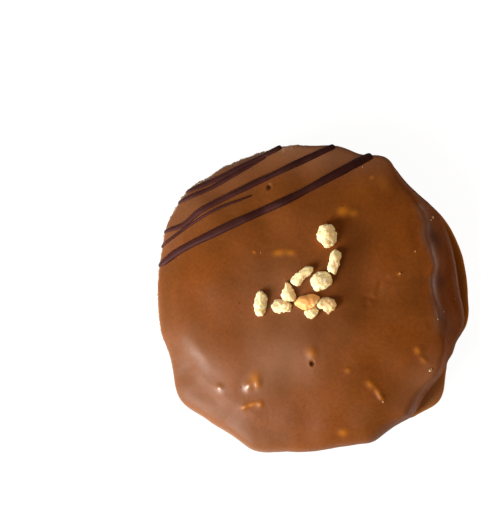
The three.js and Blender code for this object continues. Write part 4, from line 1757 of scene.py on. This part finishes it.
@dataclass(frozen=True)
class Studio:
    """The camera, the lights and the pale floor, in metres."""

    azimuth: float = -15.0
    elevation: float = 72.0
    distance: float = 0.3847
    aim: tuple[float, float, float] = (-0.0173, 0.0086, 0.006)
    lens: float = 100.0
    sensor: float = 36.0
    nearest: float = 0.01
    lamps: tuple[Lamp, ...] = (
        Lamp("key", 216.0, 28.0, 0.5, 0.26, 5.2, (1.0, 0.985, 0.95)),
        Lamp("wash", 215.0, 60.0, 0.6, 0.4, 0.45, (1.0, 0.96, 0.88), False),
        Lamp("fill", 348.0, 15.0, 0.6, 0.3, 1.0, (1.0, 0.72, 0.40), False),
        Lamp("rim", 14.0, 56.0, 0.5, 0.1, 0.13, (1.0, 0.84, 0.70)),
        Lamp("low_rim", 12.0, 6.0, 0.5, 0.1, 0.1, (0.85, 0.9, 1.0)),
        Lamp("back", 85.0, 30.0, 0.6, 0.3, 0.45, (1.0, 0.9, 0.85)),
    )
    world: Colour = (0.085, 0.062, 0.033)
    floor_size: float = 3.0
    floor_drop: float = 0.00002
    floor_white: float = 0.96
    floor_shade: float = 0.08
    floor_bounce: float = 0.7

    def camera(self) -> None:
        """Adds the camera, level with the biscuit's Y axis."""
        back = towards(self.azimuth, self.elevation)
        right = Vector((0, 1, 0)).cross(back).normalized()
        up = back.cross(right)
        camera = bpy.data.cameras.new("camera")
        camera.lens = self.lens
        camera.sensor_width = self.sensor
        camera.clip_start = self.nearest
        holder = bpy.data.objects.new("camera", camera)
        turn = Matrix((right, up, back)).transposed().to_4x4()
        holder.matrix_world = Matrix.Translation(Vector(self.aim) + back * self.distance) @ turn
        bpy.context.scene.collection.objects.link(holder)
        bpy.context.scene.camera = holder

    def floor(self) -> None:
        """Adds the floor, which takes only a faint shadow."""
        material, tree, _ = new_material("floor")
        seen = tree.add("ShaderNodeLightPath").outputs["Is Camera Ray"]
        glow = tree.add("ShaderNodeEmission", {"Strength": tree.maths("MULTIPLY", seen, self.floor_white)})
        bounce = tree.mixed(seen, (self.floor_bounce,) * 3, (self.floor_shade,) * 3)
        shade = tree.add("ShaderNodeBsdfDiffuse", {"Color": bounce})
        both = tree.add("ShaderNodeAddShader", {0: glow.outputs[0], 1: shade.outputs[0]})
        tree.add("ShaderNodeOutputMaterial", {"Surface": both.outputs[0]})
        bm = bmesh.new()
        bmesh.ops.create_grid(bm, x_segments=2, y_segments=2, size=self.floor_size / 2)
        bmesh.ops.translate(bm, vec=(0, 0, -self.floor_drop), verts=bm.verts)
        mesh = bpy.data.meshes.new("floor")
        bm.to_mesh(mesh)
        bm.free()
        mesh.materials.append(material)
        floor = bpy.data.objects.new("floor", mesh)
        bpy.context.scene.collection.objects.link(floor)

    def build(self) -> None:
        """Adds everything and sets the world's light."""
        scene = bpy.context.scene
        scene.view_settings.view_transform = "Standard"
        scene.world = bpy.data.worlds.new("studio")
        scene.world.use_nodes = True
        scene.world.node_tree.nodes["Background"].inputs["Color"].default_value = (*self.world, 1)
        self.camera()
        self.floor()
        for lamp in self.lamps:
            lamp.build()


def main() -> None:
    """Builds the studio and the biscuit, in order."""
    logging.basicConfig(level=logging.INFO, format="%(name)s %(message)s")
    Studio().build()
    coat = Coat()
    ground = Ground(coat.build())
    Drizzle().build(ground)
    ChoppedAlmonds().build(ground)
    Crumbs().build(coat.form, ground)


if __name__ == "__main__":
    main()
